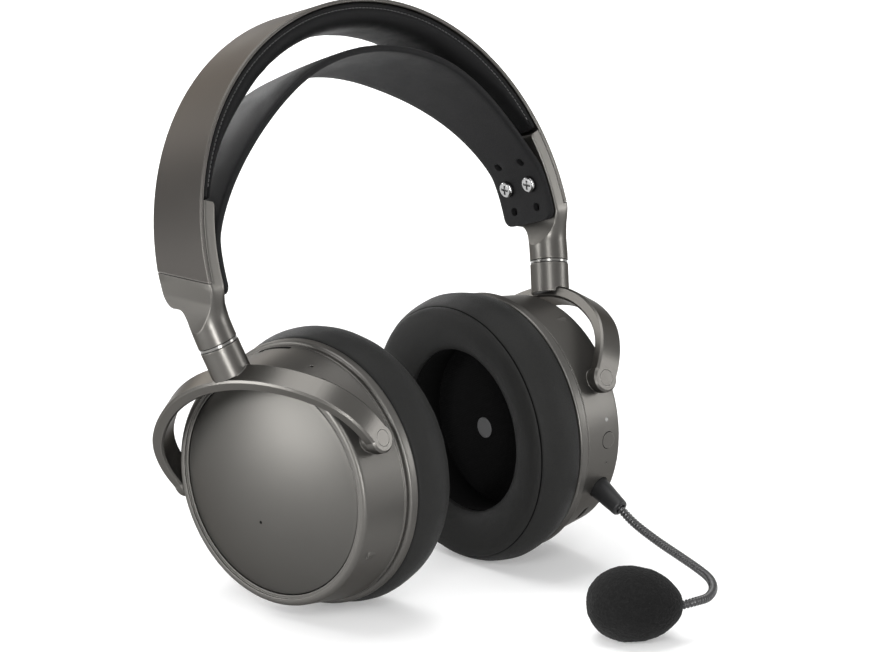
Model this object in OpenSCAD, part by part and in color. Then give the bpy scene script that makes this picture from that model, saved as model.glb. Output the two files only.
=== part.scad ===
// Wireless over-ear headset with a steel spring band, a suspension strap,
// swivelling yokes, round cups and a plug-in boom microphone.
// Millimetres, +Z up, the front of the headset looks along -Y and the
// wearer's left is +X. The origin is on the table, under the middle of the
// headset's bounding box. Everything is drawn in the headband's own frame
// (origin at the centre of the band's arc) and then leaned back by stand().

/* [Headband] */
// Outer radius of the steel spring band
band_r = 96; // [90:1:102]
// Width of the spring band, front to rear
band_w = 30; // [27:1:34]
// Thickness of the spring band
band_t = 1.6; // [1.2:0.1:2]
// Angle above the horizontal at which the band meets the arm plates
band_end = 3; // [2:0.5:5]
// Thickness of the padded liner over the crown
liner_t = 9.4; // [7:0.2:10.4]

/* [Strap] */
// Width of the suspension strap over the head
strap_w = 43.5; // [38:0.5:46]
// Width of the strap where it is screwed to the arms
strap_end_w = 29; // [26:0.5:29.5]
// Thickness of the suspension strap
strap_t = 2.8; // [2:0.1:3.4]
// Radius of the strap's middle at the crown of the head
strap_crown_r = 73.1; // [70:0.1:76]
// Distance between the strap's rows of holes
hole_row = 10; // [9:0.5:11]
// Distance between the two holes of a row
hole_pitch = 13.5; // [12:0.5:15]
// Diameter of the screw heads
screw_head_d = 6.8; // [5.5:0.1:7.5]

/* [Arms] */
// Radial thickness of the cast arms, measured from the band's outside
arm_t = 7; // [6:0.25:8]
// Angle above the horizontal where an arm ends behind the band
arm_top = 18.7; // [17:0.1:22]
// Height of the end plate's lower edge, from the band's centre
plate_low = -10; // [-11:0.5:-9]
// Slope of the stems, outward at the top, from the vertical
arm_splay = 14.5; // [13.5:0.5:15.5]
// Distance of the stems behind the middle of the band (negative is forward)
stem_y = -3.5; // [-5:0.5:-2]

/* [Swivel] */
// Diameter of the stem and of the swivel barrel
stem_d = 15.6; // [14.5:0.1:16.5]
// Diameter of the swivel shaft
shaft_d = 8; // [6:0.5:9]
// Length of the swivel barrel
barrel_h = 11.9; // [11:0.1:13]

/* [Yoke] */
// Distance from the stem's foot down to the pivot pins
pin_drop = 55; // [54:0.5:57]
// Distance of the pivot pins inside the stem's axis
pin_in = 12; // [11:0.5:13]
// Rise of the yoke's arch above the pins
yoke_rise = 46; // [45:0.5:47]
// Thickness of the yoke's strip
yoke_t = 5; // [4:0.1:5.3]
// Width of the yoke's strip
yoke_w = 10.5; // [9:0.25:12]
// Outward lean of the arch from the stem
yoke_lean = 19; // [17:0.5:21]
// Diameter of the pivot pins' shanks
pin_d = 4; // [3:0.25:4.5]

/* [Cup] */
// Radius of the cup's wall where it meets the baffle ring
wall_r = 50.9; // [50:0.1:51.3]
// Depth of the cup's housing in front of the pad side
cup_depth = 17.4; // [16:0.2:19]
// Thickness of the housing's wall
cup_wall = 2.3; // [1.8:0.1:2.8]
// Height of the dome cap's crown
dome_crown = 8; // [6:0.25:10]
// Thickness of that ring
flange_t = 4.5; // [4:0.1:5.5]

/* [Ear pad] */
// Largest radius of the ear pad
pad_r = 54.4; // [53.5:0.1:55.5]
// Radius of the ear pad's opening
pad_hole_r = 33; // [30:0.5:36]
// Thickness of the ear pad
pad_t = 21.7; // [18:0.1:24]

/* [Boom] */
// Angle of the boom's socket, from the top of the cup towards the front
boom_angle = 135; // [132:1:138]
// Length of the rubber sleeve at the boom's root
sleeve_h = 16; // [14:0.5:18]
// Diameter of the sleeve at the cup
sleeve_d = 9; // [8:0.1:9.2]
// Diameter of the gooseneck
neck_d = 3.6; // [3:0.1:4.2]
// Number of ribs along the gooseneck
neck_ribs = 96; // [60:2:110]
// Largest diameter of the foam windscreen
foam_d = 29; // [26:1:31]
// Length of the foam windscreen
foam_len = 37; // [34:1:40]

/* [Controls] */
// Diameter of the power button
button_d = 6.4; // [5:0.1:7]
// Diameter of the two wheels
wheel_d = 13; // [11:0.5:14]
// Width of the two wheels
wheel_w = 4.6; // [3.5:0.1:5]

/* [Stance] */
// Backward lean of the headset as it stands
lean = 18.5; // [17:0.5:20]
// Turn of the left cup towards the front, about its stem
toe_left = 3.5; // [3:0.5:4]
// Turn of the right cup towards the front, about its stem
toe_right = 6.5; // [6:0.5:7]
// Tilt of the right cup, face down, from the upright
tilt_right = 3; // [2.5:0.5:3.5]

/* [Hidden] */
$fn = 96;
LEFT = 1;
RIGHT = -1;
tilt_left = 0;
stand_y = 55;               // the band's centre behind the middle of the bounding box
floor_cut = 0.5;            // how far the pads and the foam are pressed flat
eps = 0.01;                 // overlap that keeps a cut clean
reach = 40;                 // length of cutters that only have to pass through

// Headband and arms
band_in = band_r - band_t;
arm_in = band_r - arm_t;
seam = 0.3;                 // gap between the band's end and the arm plate
seam_deg = seam / band_r * 180 / PI;
liner_gap = 0.1;            // play between the liner, the band and the arms
liner_w = band_w - 1.6;
liner_end_t = 4.6;          // the liner's thickness where it meets the arms
arm_corner = 2.5;           // rounding at the arm's top, inside
plate_corner = 4;           // rounding of the end plate's free corner
corner_past = 0.05;         // the rounding's circle runs past the plate's side, so that it cuts it
plate_fillet = 3;           // fillet between the end plate and the stem

// Stem, swivel and yoke
stem_r = 92.3 + band_r - 96;
stem_top = 1;               // angle at which the stem starts, inside the arm
scoop_r = 7.5;              // half width of the flat tongues in the stem
scoop_low = 6;              // their lower end above the stem's foot
scoop_step = 0.4;           // how far they lie below the end plate's faces
neck_ring_d = stem_d - 2.6;
neck_ring_h = 0.35;
washer_d = stem_d - 0.4;
washer_t = 0.9;
swivel_gap = 0.05;          // axial play between the washer and the barrel
barrel_top = -2 * neck_ring_h - washer_t - swivel_gap;
shaft_up = 4.5;             // shaft inside the arm
shaft_down = 8;             // shaft inside the barrel
shaft_play = 0.05;          // radial running clearance in the arm
press_play = 0.01;          // radial clearance of a pressed joint
stem_dy = 8;                // the pins' middle behind the stem's axis
yoke_half = wall_r + 4.7;   // outside half width of the yoke, over its two legs
leg_h = 5;                  // straight foot of each leg
shoulder_r = 32;            // outer radius of the arch's shoulders
chamfer = 0.8;
leg_end_r = yoke_w / 2 + 0.5;
pin_head_d = pin_d + 2.4;
pin_head_t = 1.2;
pin_play = 0.05;            // radial running clearance of the pins in the cup
side_play = 0.3;            // gap between the yoke's legs and the cup's bosses
grommet_t = 1.2;
grommet_play = 0.05;

// Cup: x runs out along the cup's axis, y to the rear, z up
bezel_r = wall_r - 3;       // the cup's wall at its rounded outer edge
dome_r = bezel_r - 4.6;     // dome cap in the cup's face
flange_r = wall_r + 1.9;    // ring that carries the ear pad
pin_x = 8;
pin_z = 8;
rim_x = -4;                 // plane of the joint between housing and baffle ring
bezel_h = 2;                // height of the rounded edge
seat_lip = 0.8;             // step around the dome cap
seat_play = 0.3;            // gap around the dome cap
web_x = 11.6;               // inner face of the housing's floor
web_t = 2;
seat_x = web_x + web_t;
dome_edge = 2.6;            // height of the dome cap's upright edge
dome_t = 1.8;
dome_ball = (dome_r * dome_r + dome_crown * dome_crown) / (2 * dome_crown);
boss_r = 4.6;
flange_x = rim_x - flange_t;
flange_hole_r = dome_r + 0.7;
ledge_w = 2;
ledge_x = flange_x + 2.9;
frame_play = 0.2;
frame_t = 2;
cloth_t = 0.6;
film_t = 0.2;
magnet_count = 9;
magnet_w = 3;
baffle_screw_r = wall_r - 4.3;
baffle_screws = 4;
vent_angle = -6;
vent_w = 11;
vent_h = 2.5;
vent_x = -0.2;
tag_d = 6;

// Ear pad: outline of its section as [radius, x]
pad_x = flange_x - pad_t;
pad_back_r = flange_r - 0.6;
pad_seam_r = pad_back_r - 0.2;
pad_seam_x = pad_x + 2.3;
pad_seam_d = 0.7;
pad_crown_r = (pad_seam_r + pad_hole_r) / 2 + 3;

// Controls, as [angle from the top towards the front, x]
light_at = [100, 9.4];
button_at = [110, 9.5];
talk_hole_at = [121.5, 9.4];
usb_at = [154.5, 7.5];
jack_at = [172, 6.4];
mute_at = [-88, 7];
volume_at = [-112, 6.5];
mix_at = [-136, 6.5];
hole_at_right = [35, 6];
light_d = 1.6;
button_play = 0.1;
button_proud = 0.3;
button_h = cup_wall + button_proud + 0.5;
button_stem_d = 3;          // plunger that works the switch on the board
button_stem_h = 1.5;
usb_w = 9;
usb_h = 3.3;
usb_len = 7.5;
jack_d = 3.6;
jack_body_d = 6;
jack_len = 14;
mute_w = 3;
mute_len = 5;
mute_travel = 2;
wheel_proud = 1.6;
wheel_play = 0.3;
axle_d = 2;
axle_play = 0.05;
axle_head_d = 3.4;
axle_head_t = 0.8;
wheel_teeth = 36;
board_t = 1.5;
board_x = 9.6;
board_in = 27;
board_out = 43.5;
board_from = 80;            // angles it covers, from the top towards the front
board_span = 105;
battery_size = [5.5, 34, 20];
battery_z = -29;

// Boom, in the frame of the left cup
boom_x = 8.5;
socket_d = 6;
socket_len = 16;
plug_d = 3.5;
plug_len = 14;
plug_play = 0.05;
sleeve_tip_d = sleeve_d - 2;
sleeve_play = 0.25;
spot_r = wall_r - 3.7;      // radius of the flat that the sleeve stands on
boom_dir = [0, -sin(boom_angle), cos(boom_angle)];
boom_root = [boom_x, 0, 0] + spot_r * boom_dir;
sleeve_tip = boom_root + sleeve_h * boom_dir;
rib_depth = 0.35;
neck_in = 3;                // gooseneck inside the sleeve
foam_axis = [-0.66, 0.7, 0.26] / norm([-0.66, 0.7, 0.26]);
foam_mid = [-41.4, -98.24, -75.87];
capsule_d = 9;
capsule_len = 15;

// Route of the gooseneck after the sleeve, in the frame of the left cup
neck_route = [
    [8.6, -51, -51.4], [8.2, -62.5, -59.6], [6.6, -76, -67], [4.6, -87, -72.6],
    [1.2, -95.4, -76.2], [-5.5, -103.4, -79], [-14.5, -109.6, -80.6],
    [-23, -112, -80.4]
];

// ---------------------------------------------------------------------
// Vector helpers: turns about the three axes, as rotate() makes them
function turn_x(a, v) = [v.x, v.y * cos(a) - v.z * sin(a), v.y * sin(a) + v.z * cos(a)];
function turn_y(a, v) = [v.x * cos(a) + v.z * sin(a), v.y, v.z * cos(a) - v.x * sin(a)];
function turn_z(a, v) = [v.x * cos(a) - v.y * sin(a), v.x * sin(a) + v.y * cos(a), v.z];
function unit(v) = v / norm(v);
function ease(t) = let (u = min(1, max(0, t))) u * u * (3 - 2 * u);
function mix(a, b, t) = a + (b - a) * t;
function arc_points(c, r, a0, a1, n) = [
    for (i = [0 : n]) c + r * [cos(mix(a0, a1, i / n)), sin(mix(a0, a1, i / n))]
];
function power(c, n) = sign(c) * pow(abs(c), 2 / n);

function toe(side) = side > 0 ? toe_left : toe_right;
function tilt(side) = side > 0 ? tilt_left : tilt_right;
stem_foot = [stem_r * cos(arm_splay), stem_y, -stem_r * sin(arm_splay)];

// A point of a cup's frame, in the headband's frame
function cup_to_band(side, v) = let (
    from_pins = turn_y(tilt(side) - arm_splay, v - [pin_x, 0, pin_z]),
    from_stem = turn_z(-toe(side), [-pin_in, stem_dy, -pin_drop] + from_pins),
    p = stem_foot + turn_y(arm_splay, from_stem)
) [side * p.x, p.y, p.z];
function leaned(roll, p) = turn_x(-lean, turn_y(roll, p));

// ---------------------------------------------------------------------
// Section of the ear pad: round outside, piped seam, crowned face
pad_side_bulge = pad_r - (pad_back_r + pad_seam_r) / 2;
pad_side_half = (flange_x - pad_seam_x) / 2;
pad_side_r = (pad_side_half * pad_side_half + pad_side_bulge * pad_side_bulge) / (2 * pad_side_bulge);
pad_side_c = [pad_r - pad_side_r, (flange_x + pad_seam_x) / 2];
pad_side_a = asin(pad_side_half / pad_side_r);
function pad_face_x(r) = let (
    w = r > pad_crown_r ? (r - pad_crown_r) / (pad_seam_r - pad_crown_r)
                        : (pad_crown_r - r) / (pad_crown_r - pad_hole_r),
    drop = r > pad_crown_r ? pad_seam_x - pad_x : 3.4
) pad_x + drop * (1 - sqrt(max(0, 1 - w * w * 0.9))) / (1 - sqrt(0.1));
pad_outline = concat(
    arc_points(pad_side_c, pad_side_r, pad_side_a, -pad_side_a, 14),
    [[pad_seam_r - pad_seam_d, pad_seam_x - 0.15]],
    [for (i = [0 : 14]) let (r = mix(pad_seam_r - 0.1, pad_hole_r + 0.2, i / 14)) [r, pad_face_x(r) - 0.3]],
    [[pad_hole_r, pad_x + 4.6], [pad_hole_r + 1.4, flange_x]]
);

// Lowest point of a pad when the headset is leaned back and rolled
function pad_low(side, roll) = let (
    c = leaned(roll, cup_to_band(side, [0, 0, 0])),
    a = leaned(roll, cup_to_band(side, [1, 0, 0])) - c,
    s = sqrt(1 - a.z * a.z)
) min([for (q = pad_outline) c.z + q.y * a.z - q.x * s]);
// Roll at which both pads touch the table
function level(roll, n) = n == 0 ? roll : let (
    across = leaned(roll, cup_to_band(LEFT, [0, 0, 0])).x
           - leaned(roll, cup_to_band(RIGHT, [0, 0, 0])).x
) level(roll + atan((pad_low(LEFT, roll) - pad_low(RIGHT, roll)) / across), n - 1);
side_lean = level(0, 5);
stand_z = -pad_low(LEFT, side_lean) - floor_cut;

// ---------------------------------------------------------------------
// Frames: each one places its children where the piece belongs
module stand()
    translate([0, stand_y, stand_z]) rotate([-lean, 0, 0]) rotate([0, side_lean, 0]) children();
module on_side(side)
    if (side > 0) children();
    else mirror([1, 0, 0]) children();
module stem_axis()
    translate(stem_foot) rotate([0, arm_splay, 0]) children();
module arm_frame(side)
    stand() on_side(side) children();
module yoke_frame(side)
    arm_frame(side) stem_axis() rotate([0, 0, -toe(side)])
        translate([-pin_in, stem_dy, -pin_drop]) children();
module cup_frame(side)
    yoke_frame(side) rotate([0, tilt(side) - arm_splay, 0]) translate([-pin_x, 0, -pin_z]) children();
// Outward along a cup's wall at an angle from the top towards the front
module at_wall(at, r = 0)
    translate([at[1], 0, 0]) rotate([at[0], 0, 0]) translate([0, 0, r]) children();
// Radius of the cup's outer wall at x
function wall_at(x) = mix(wall_r, bezel_r, (x - rim_x) / (cup_depth - bezel_h - rim_x));
// Revolve a section drawn as [radius, x] about the cup's axis
module turned() rotate([0, 90, 0]) rotate_extrude() children();
// A disc about the cup's axis from x0 to x1
module disc(r, x0, x1) translate([x0, 0, 0]) rotate([0, 90, 0]) cylinder(r = r, h = x1 - x0);
// Part of a ring about the Y axis, between two angles above the X axis
module band_arc(r0, r1, a0, a1, w)
    rotate([90, 0, 0]) rotate([0, 0, a0]) rotate_extrude(angle = a1 - a0, $fn = 180)
        translate([r0, -w / 2]) square([r1 - r0, w]);
// Radial direction of the band at an angle, as the local X axis
module at_band(a, r = 0) rotate([0, -a, 0]) translate([r, 0, 0]) children();
// Cutter that rounds one corner of a plane outline
module corner(p, dir, r)
    translate(p) scale([dir.x, dir.y]) difference() {
        translate([-1, -1]) square(r + 1);
        translate([r, r]) circle(r, $fn = 48);
    }
// Solid between rings of equal length, closed at both ends
module skin(rings) {
    n = len(rings[0]);
    m = len(rings);
    sides = [
        for (i = [0 : m - 2], j = [0 : n - 1]) let (a = i * n + j, b = i * n + (j + 1) % n)
            each [[a, b, b + n], [a, b + n, a + n]]
    ];
    low = [for (j = [1 : n - 2]) [0, j + 1, j]];
    high = [for (j = [1 : n - 2]) [0, j, j + 1] + (m - 1) * n * [1, 1, 1]];
    polyhedron([for (ring = rings) each ring], concat(sides, low, high), convexity = 6);
}
// Ring of a superellipse in the band's radial section at an angle
function band_ring(a, r, out, in, half_w, y, n, count) = [
    for (k = [0 : count - 1]) let (
        t = 360 * k / count,
        dr = power(cos(t), n) * (cos(t) > 0 ? out : in),
        rr = r + dr
    ) [rr * cos(a), y - power(sin(t), n) * half_w, rr * sin(a)]
];

// ---------------------------------------------------------------------
// Headband
module headband_spring()
    color("dimgray") stand() band_arc(band_in, band_r, band_end, 180 - band_end, band_w);

// Padded liner between the arms, crowned inside, with rounded ends
module headband_pad() {
    end_deg = arm_top + 0.4;
    steps = 44;
    outside = band_in - liner_gap;
    function half(a) = mix(liner_end_t, liner_t, ease(((a > 90 ? 180 - a : a) - end_deg) / 32)) / 2;
    function closing(i) = let (s = min(i, steps - i)) s >= 2 ? 1 : [0.72, 0.93][s];
    color("#1b1b1c") stand() skin([
        for (i = [0 : steps]) let (a = mix(end_deg, 180 - end_deg, i / steps), c = closing(i), h = half(a))
            band_ring(a, outside - h, h, h * c, liner_w / 2 * (0.6 + 0.4 * c), 0, 4, 16)
    ]);
}

// Suspension strap: lies on the arms, then swings inward over the head
strap_seat_r = arm_in - 0.05 - strap_t / 2;
strap_leave = 10;           // angle where the strap leaves the arm
screw_row = 6.2;            // angle of the row that carries the screws
strap_end = -4.2;
strap_corner = 4;
function ramp(d) = (d + sqrt(d * d + 2)) / 2;
function strap_at(a) = let (
    up = a > 90 ? 180 - a : a,
    u = min(1, ramp(up - strap_leave) / (90 - strap_leave))
) strap_seat_r - (strap_seat_r - strap_crown_r) * (1 - pow(1 - u, 2.5));
function strap_half(a) = let (
    up = a > 90 ? 180 - a : a,
    s = (up - strap_end) * strap_seat_r * PI / 180,
    k = strap_corner - min(strap_corner, s),
    full = mix(strap_end_w, strap_w, ease((up - 12) / 48)) / 2
) full - strap_corner + sqrt(strap_corner * strap_corner - k * k);
strap_rows = [for (i = [-1 : 1]) screw_row + i * hole_row / strap_seat_r * 180 / PI];
strap_marks = concat([0, 0.25, 0.7, 1.4, 2.6], [for (d = [5 : 3 : 89]) d], [92.7]);
strap_angles = concat(
    [for (d = strap_marks) strap_end + d],
    [for (i = [len(strap_marks) - 2 : -1 : 0]) 180 - strap_end - strap_marks[i]]
);
module strap_holes(side, rows, d)
    for (a = rows, y = [-1, 1])
        on_side(side) at_band(a, arm_in) translate([-reach / 2, y * hole_pitch / 2, 0])
            rotate([0, 90, 0]) cylinder(d = d, h = reach, $fn = 32);
module suspension_strap()
    color("#202022") stand() difference() {
        skin([for (a = strap_angles)
            band_ring(a, strap_at(a), strap_t / 2, strap_t / 2, strap_half(a), 0, 7, 16)]);
        for (side = [LEFT, RIGHT]) strap_holes(side, strap_rows, 3.5);
    }

// Pan-head screws with a cross recess, two in the middle row of each end
screw_d = 3;
screw_head_h = 2;
screw_len = 5;
screw_head_deg = asin(screw_head_d / 2 / strap_seat_r);
module strap_screw() {
    head = strap_at(screw_row + screw_head_deg) * cos(screw_head_deg) - strap_t / 2 - 0.05;
    translate([head, 0, 0]) rotate([0, 90, 0]) cylinder(d = screw_d, h = screw_len + strap_t, $fn = 32);
    difference() {
        translate([head, 0, 0]) rotate([0, -90, 0]) rotate_extrude($fn = 48) polygon(concat(
            [[0, 0]], [[screw_head_d / 2, 0]],
            arc_points([screw_head_d / 2 - 1.2, 0.8], 1.2, 0, 70, 6),
            [[0, screw_head_h + 0.12]]
        ));
        for (a = [0, 90]) translate([head - screw_head_h, 0, 0]) rotate([a + 20, 0, 0])
            cube([2.4, 0.95, 3.9], center = true);
    }
}
module strap_screws()
    color("silver") stand() for (side = [LEFT, RIGHT], y = [-1, 1])
        on_side(side) at_band(strap_rows[1]) translate([0, y * hole_pitch / 2, 0]) strap_screw();

// Cast arm: slab behind the band, end plate flush with it, round stem below
function grown(a, from, to) = ease((from - a) / (from - to));
function stem_ring(a) = let (
    thin = arm_t / 2 - 0.4,
    out = mix(thin, stem_d / 2, grown(a, -4.5, -10.5)),
    in = mix(thin, stem_d / 2, grown(a, -4.8, -11)),
    front = mix(band_w / 2 - 0.6 + stem_y, stem_d / 2, grown(a, 1, -11.5)),
    rear = stem_d / 2,
    n = mix(5, 2, grown(a, -3, -11))
) band_ring(a, stem_r, out, in, (front + rear) / 2, stem_y + (rear - front) / 2, n, 36);
module tongue(r0, r1)
    intersection() {
        band_arc(r0, r1, -arm_splay - 6, 0, 4 * scoop_r);
        rotate([90, 0, 90]) linear_extrude(band_r + reach) intersection() {
            translate([stem_y, stem_foot.z + scoop_low + scoop_r]) circle(scoop_r, $fn = 64);
            translate([-reach, plate_low - reach + 0.5]) square([2 * reach, reach]);
        }
    }
module arm_slab() {
    a_low = -7.8;
    stem_in = stem_d / 2 - 0.9;
    difference() {
        union() {
            band_arc(arm_in, band_in, a_low, arm_top, band_w);
            band_arc(band_in - 1, band_r, a_low, band_end - seam_deg, band_w);
        }
        at_band(arm_top, arm_in) rotate([90, 0, 0]) linear_extrude(band_w + 2, center = true)
            corner([0, 0], [1, -1], arm_corner);
        rotate([90, 0, 90]) linear_extrude(band_r + reach) difference() {
            translate([-reach, plate_low - reach]) square([2 * reach, reach]);
            translate([stem_y - stem_in, plate_low - reach]) square([2 * stem_in, reach + eps]);
            translate([stem_y + stem_in, plate_low]) corner([0, 0], [1, -1], plate_fillet);
        }
        rotate([90, 0, 90]) linear_extrude(band_r + reach) {
            corner([band_w / 2 + corner_past, plate_low], [-1, 1], plate_corner);
            corner([-band_w / 2 - corner_past, plate_low], [1, 1], plate_corner + 2);
        }
    }
}
module arm(side)
    color("gray") arm_frame(side) difference() {
        union() {
            arm_slab();
            skin([for (i = [0 : 12]) stem_ring(mix(-arm_splay, stem_top, i / 12))]);
            stem_axis() translate([0, 0, -neck_ring_h]) cylinder(d = neck_ring_d, h = neck_ring_h + 1);
        }
        tongue(band_r - scoop_step, band_r + reach);
        tongue(arm_in - reach, arm_in + scoop_step);
        stem_axis() translate([0, 0, -1]) cylinder(d = shaft_d + 2 * shaft_play, h = shaft_up + 1.3);
        for (y = [-1, 1]) at_band(strap_rows[1], arm_in - 1) translate([0, y * hole_pitch / 2, 0])
            rotate([0, 90, 0]) cylinder(d = screw_d + 0.1, h = screw_len + 1.2, $fn = 32);
    }

// Bright washers between the arms and the swivel barrels
module swivel_washers()
    color("lightgray") for (side = [LEFT, RIGHT]) arm_frame(side) stem_axis()
        translate([0, 0, -neck_ring_h - washer_t]) difference() {
            cylinder(d = washer_d, h = washer_t);
            translate([0, 0, -1]) cylinder(d = shaft_d + 4 * shaft_play, h = washer_t + 2);
        }

// ---------------------------------------------------------------------
// Yoke: chamfered strip bent to a three-centred arch, barrel on its crown
arch_h = yoke_rise - leg_h;
arch_k = (pow(yoke_half - shoulder_r, 2) - pow(arch_h - shoulder_r, 2)) / (2 * (arch_h - shoulder_r));
arch_r = arch_h + arch_k;
arch_a = atan((yoke_half - shoulder_r) / arch_k);
module strip_section(r)
    polygon([
        [r, -yoke_w / 2 + chamfer], [r, yoke_w / 2 - chamfer], [r - chamfer, yoke_w / 2],
        [r - yoke_t + chamfer, yoke_w / 2], [r - yoke_t, yoke_w / 2 - chamfer],
        [r - yoke_t, -yoke_w / 2 + chamfer], [r - yoke_t + chamfer, -yoke_w / 2], [r - chamfer, -yoke_w / 2]
    ]);
module strip_arc(r, y, z, a0, a1)
    translate([0, y, z]) rotate([90, 0, 90]) rotate([0, 0, a0])
        rotate_extrude(angle = a1 - a0, $fn = 180) strip_section(r);
module arch() {
    strip_arc(arch_r, 0, leg_h - arch_k, 90 - arch_a, 90 + arch_a);
    strip_arc(shoulder_r, yoke_half - shoulder_r, leg_h, 0, 90 - arch_a);
    strip_arc(shoulder_r, shoulder_r - yoke_half, leg_h, 90 + arch_a, 180);
    for (a = [0, 180]) rotate([0, 0, a]) {
        rotate([0, 0, 90]) linear_extrude(leg_h) strip_section(yoke_half);
        translate([0, yoke_half, 0]) rotate([90, 0, 0]) rotate_extrude() polygon([
            [0, 0], [leg_end_r - chamfer, 0], [leg_end_r, chamfer], [leg_end_r, yoke_t - chamfer],
            [leg_end_r - chamfer, yoke_t], [0, yoke_t]
        ]);
    }
}
module barrel_place(side) yoke_frame(side) translate([pin_in, -stem_dy, pin_drop]) children();
grommet_r = stem_d / 2 - 1.4;
grommet_cut = -3.4;         // the yoke's strip covers the rest of the barrel's underside
module grommet_shape(r, h) intersection() {
    cylinder(r = r, h = h);
    translate([-2 * r + grommet_cut, -r, 0]) cube([2 * r, 2 * r, h]);
}
module yoke(side) {
    barrel_low = barrel_top - barrel_h;
    color("gray") difference() {
        union() {
            yoke_frame(side) rotate([0, yoke_lean, 0]) arch();
            barrel_place(side) translate([0, 0, barrel_low]) {
                cylinder(d = stem_d, h = barrel_h);
                cylinder(d = neck_ring_d, h = barrel_h + neck_ring_h);
            }
        }
        barrel_place(side) translate([0, 0, barrel_top - shaft_down]) cylinder(d = shaft_d + 2 * press_play, h = reach);
        barrel_place(side) translate([0, 0, barrel_low - eps]) grommet_shape(grommet_r, grommet_t + eps);
        yoke_frame(side) translate([0, -yoke_half - 1, 0]) rotate([-90, 0, 0]) {
            cylinder(d = pin_d + 2 * press_play, h = 2 * yoke_half + 2);
            cylinder(d = pin_head_d + 0.1, h = pin_head_t + 1);
            translate([0, 0, 2 * yoke_half + 1 - pin_head_t]) cylinder(d = pin_head_d + 0.1, h = pin_head_t + 1);
        }
    }
}
module swivel_shaft(side)
    color("silver") barrel_place(side) translate([0, 0, barrel_top - shaft_down])
        cylinder(d = shaft_d, h = shaft_up + shaft_down - barrel_top);
module swivel_grommet(side)
    color("#151515") barrel_place(side) translate([0, 0, barrel_top - barrel_h])
        grommet_shape(grommet_r - grommet_play, grommet_t);
boss_y = yoke_half - yoke_t - side_play;
module pivot_pins(side)
    color("gray") yoke_frame(side) for (s = [0, 1]) mirror([0, s, 0]) {
        translate([0, yoke_half, 0]) rotate([90, 0, 0]) {
            cylinder(d = pin_head_d, h = pin_head_t);
            cylinder(d = pin_d, h = yoke_t + 5.5);
        }
    }

// ---------------------------------------------------------------------
// Cup housing: bowl with a tapered wall, rounded bezel and a seat for the dome
module housing_section() {
    bezel_x = cup_depth - bezel_h;
    seat_r = dome_r + seat_play;
    lip_r = seat_r + seat_lip + 0.5;
    inner = wall_r - cup_wall;
    inner_low = wall_at(web_x) - cup_wall;
    difference() {
        polygon(concat(
            [[0, web_x], [inner_low - 1.5, web_x], [inner_low, web_x - 1.5], [inner, rim_x]],
            [[wall_r, rim_x], [wall_r - 0.1, rim_x + 0.7], [wall_r - 0.8, rim_x + 1.1], [wall_at(rim_x + 1.6), rim_x + 1.6]],
            arc_points([bezel_r - bezel_h, bezel_x], bezel_h, 5, 85, 8),
            [[lip_r, cup_depth], [lip_r, cup_depth - seat_lip], [seat_r, cup_depth - seat_lip]],
            [[seat_r, seat_x], [0, seat_x]]
        ));
    }
}
module pin_bosses(r)
    for (s = [0, 1]) mirror([0, s, 0]) translate([pin_x, boss_y, pin_z]) rotate([90, 0, 0])
        cylinder(r = r, h = boss_y - sqrt(pow(wall_at(pin_x), 2) - pin_z * pin_z) + 5);
module housing_common() {
    difference() {
        union() {
            turned() housing_section();
            pin_bosses(boss_r);
            for (i = [0 : baffle_screws - 1]) rotate([45 + 360 * i / baffle_screws, 0, 0])
                translate([rim_x, 0, baffle_screw_r]) rotate([0, 90, 0]) cylinder(d = 5, h = web_x - rim_x + 0.5);
        }
        translate([pin_x, -yoke_half, pin_z]) rotate([-90, 0, 0])
            for (y = [0, 2 * yoke_half - 14]) translate([0, 0, y]) cylinder(d = pin_d + 2 * pin_play, h = 14);
        for (i = [0 : baffle_screws - 1]) rotate([45 + 360 * i / baffle_screws, 0, 0])
            translate([rim_x - 1, 0, baffle_screw_r]) rotate([0, 90, 0]) cylinder(d = 2, h = 8, $fn = 24);
        at_wall([vent_angle, vent_x], wall_r - 1.6) translate([-vent_h / 2, -vent_w / 2, 0])
            cube([vent_h, vent_w, 4]);
    }
}
module wheel_slot(at)
    at_wall(at, wall_at(at[1]) + wheel_proud - wheel_d / 2)
        rotate([0, 90, 0]) cylinder(d = wheel_d + 2 * wheel_play, h = wheel_w + 2 * wheel_play, center = true);
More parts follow.
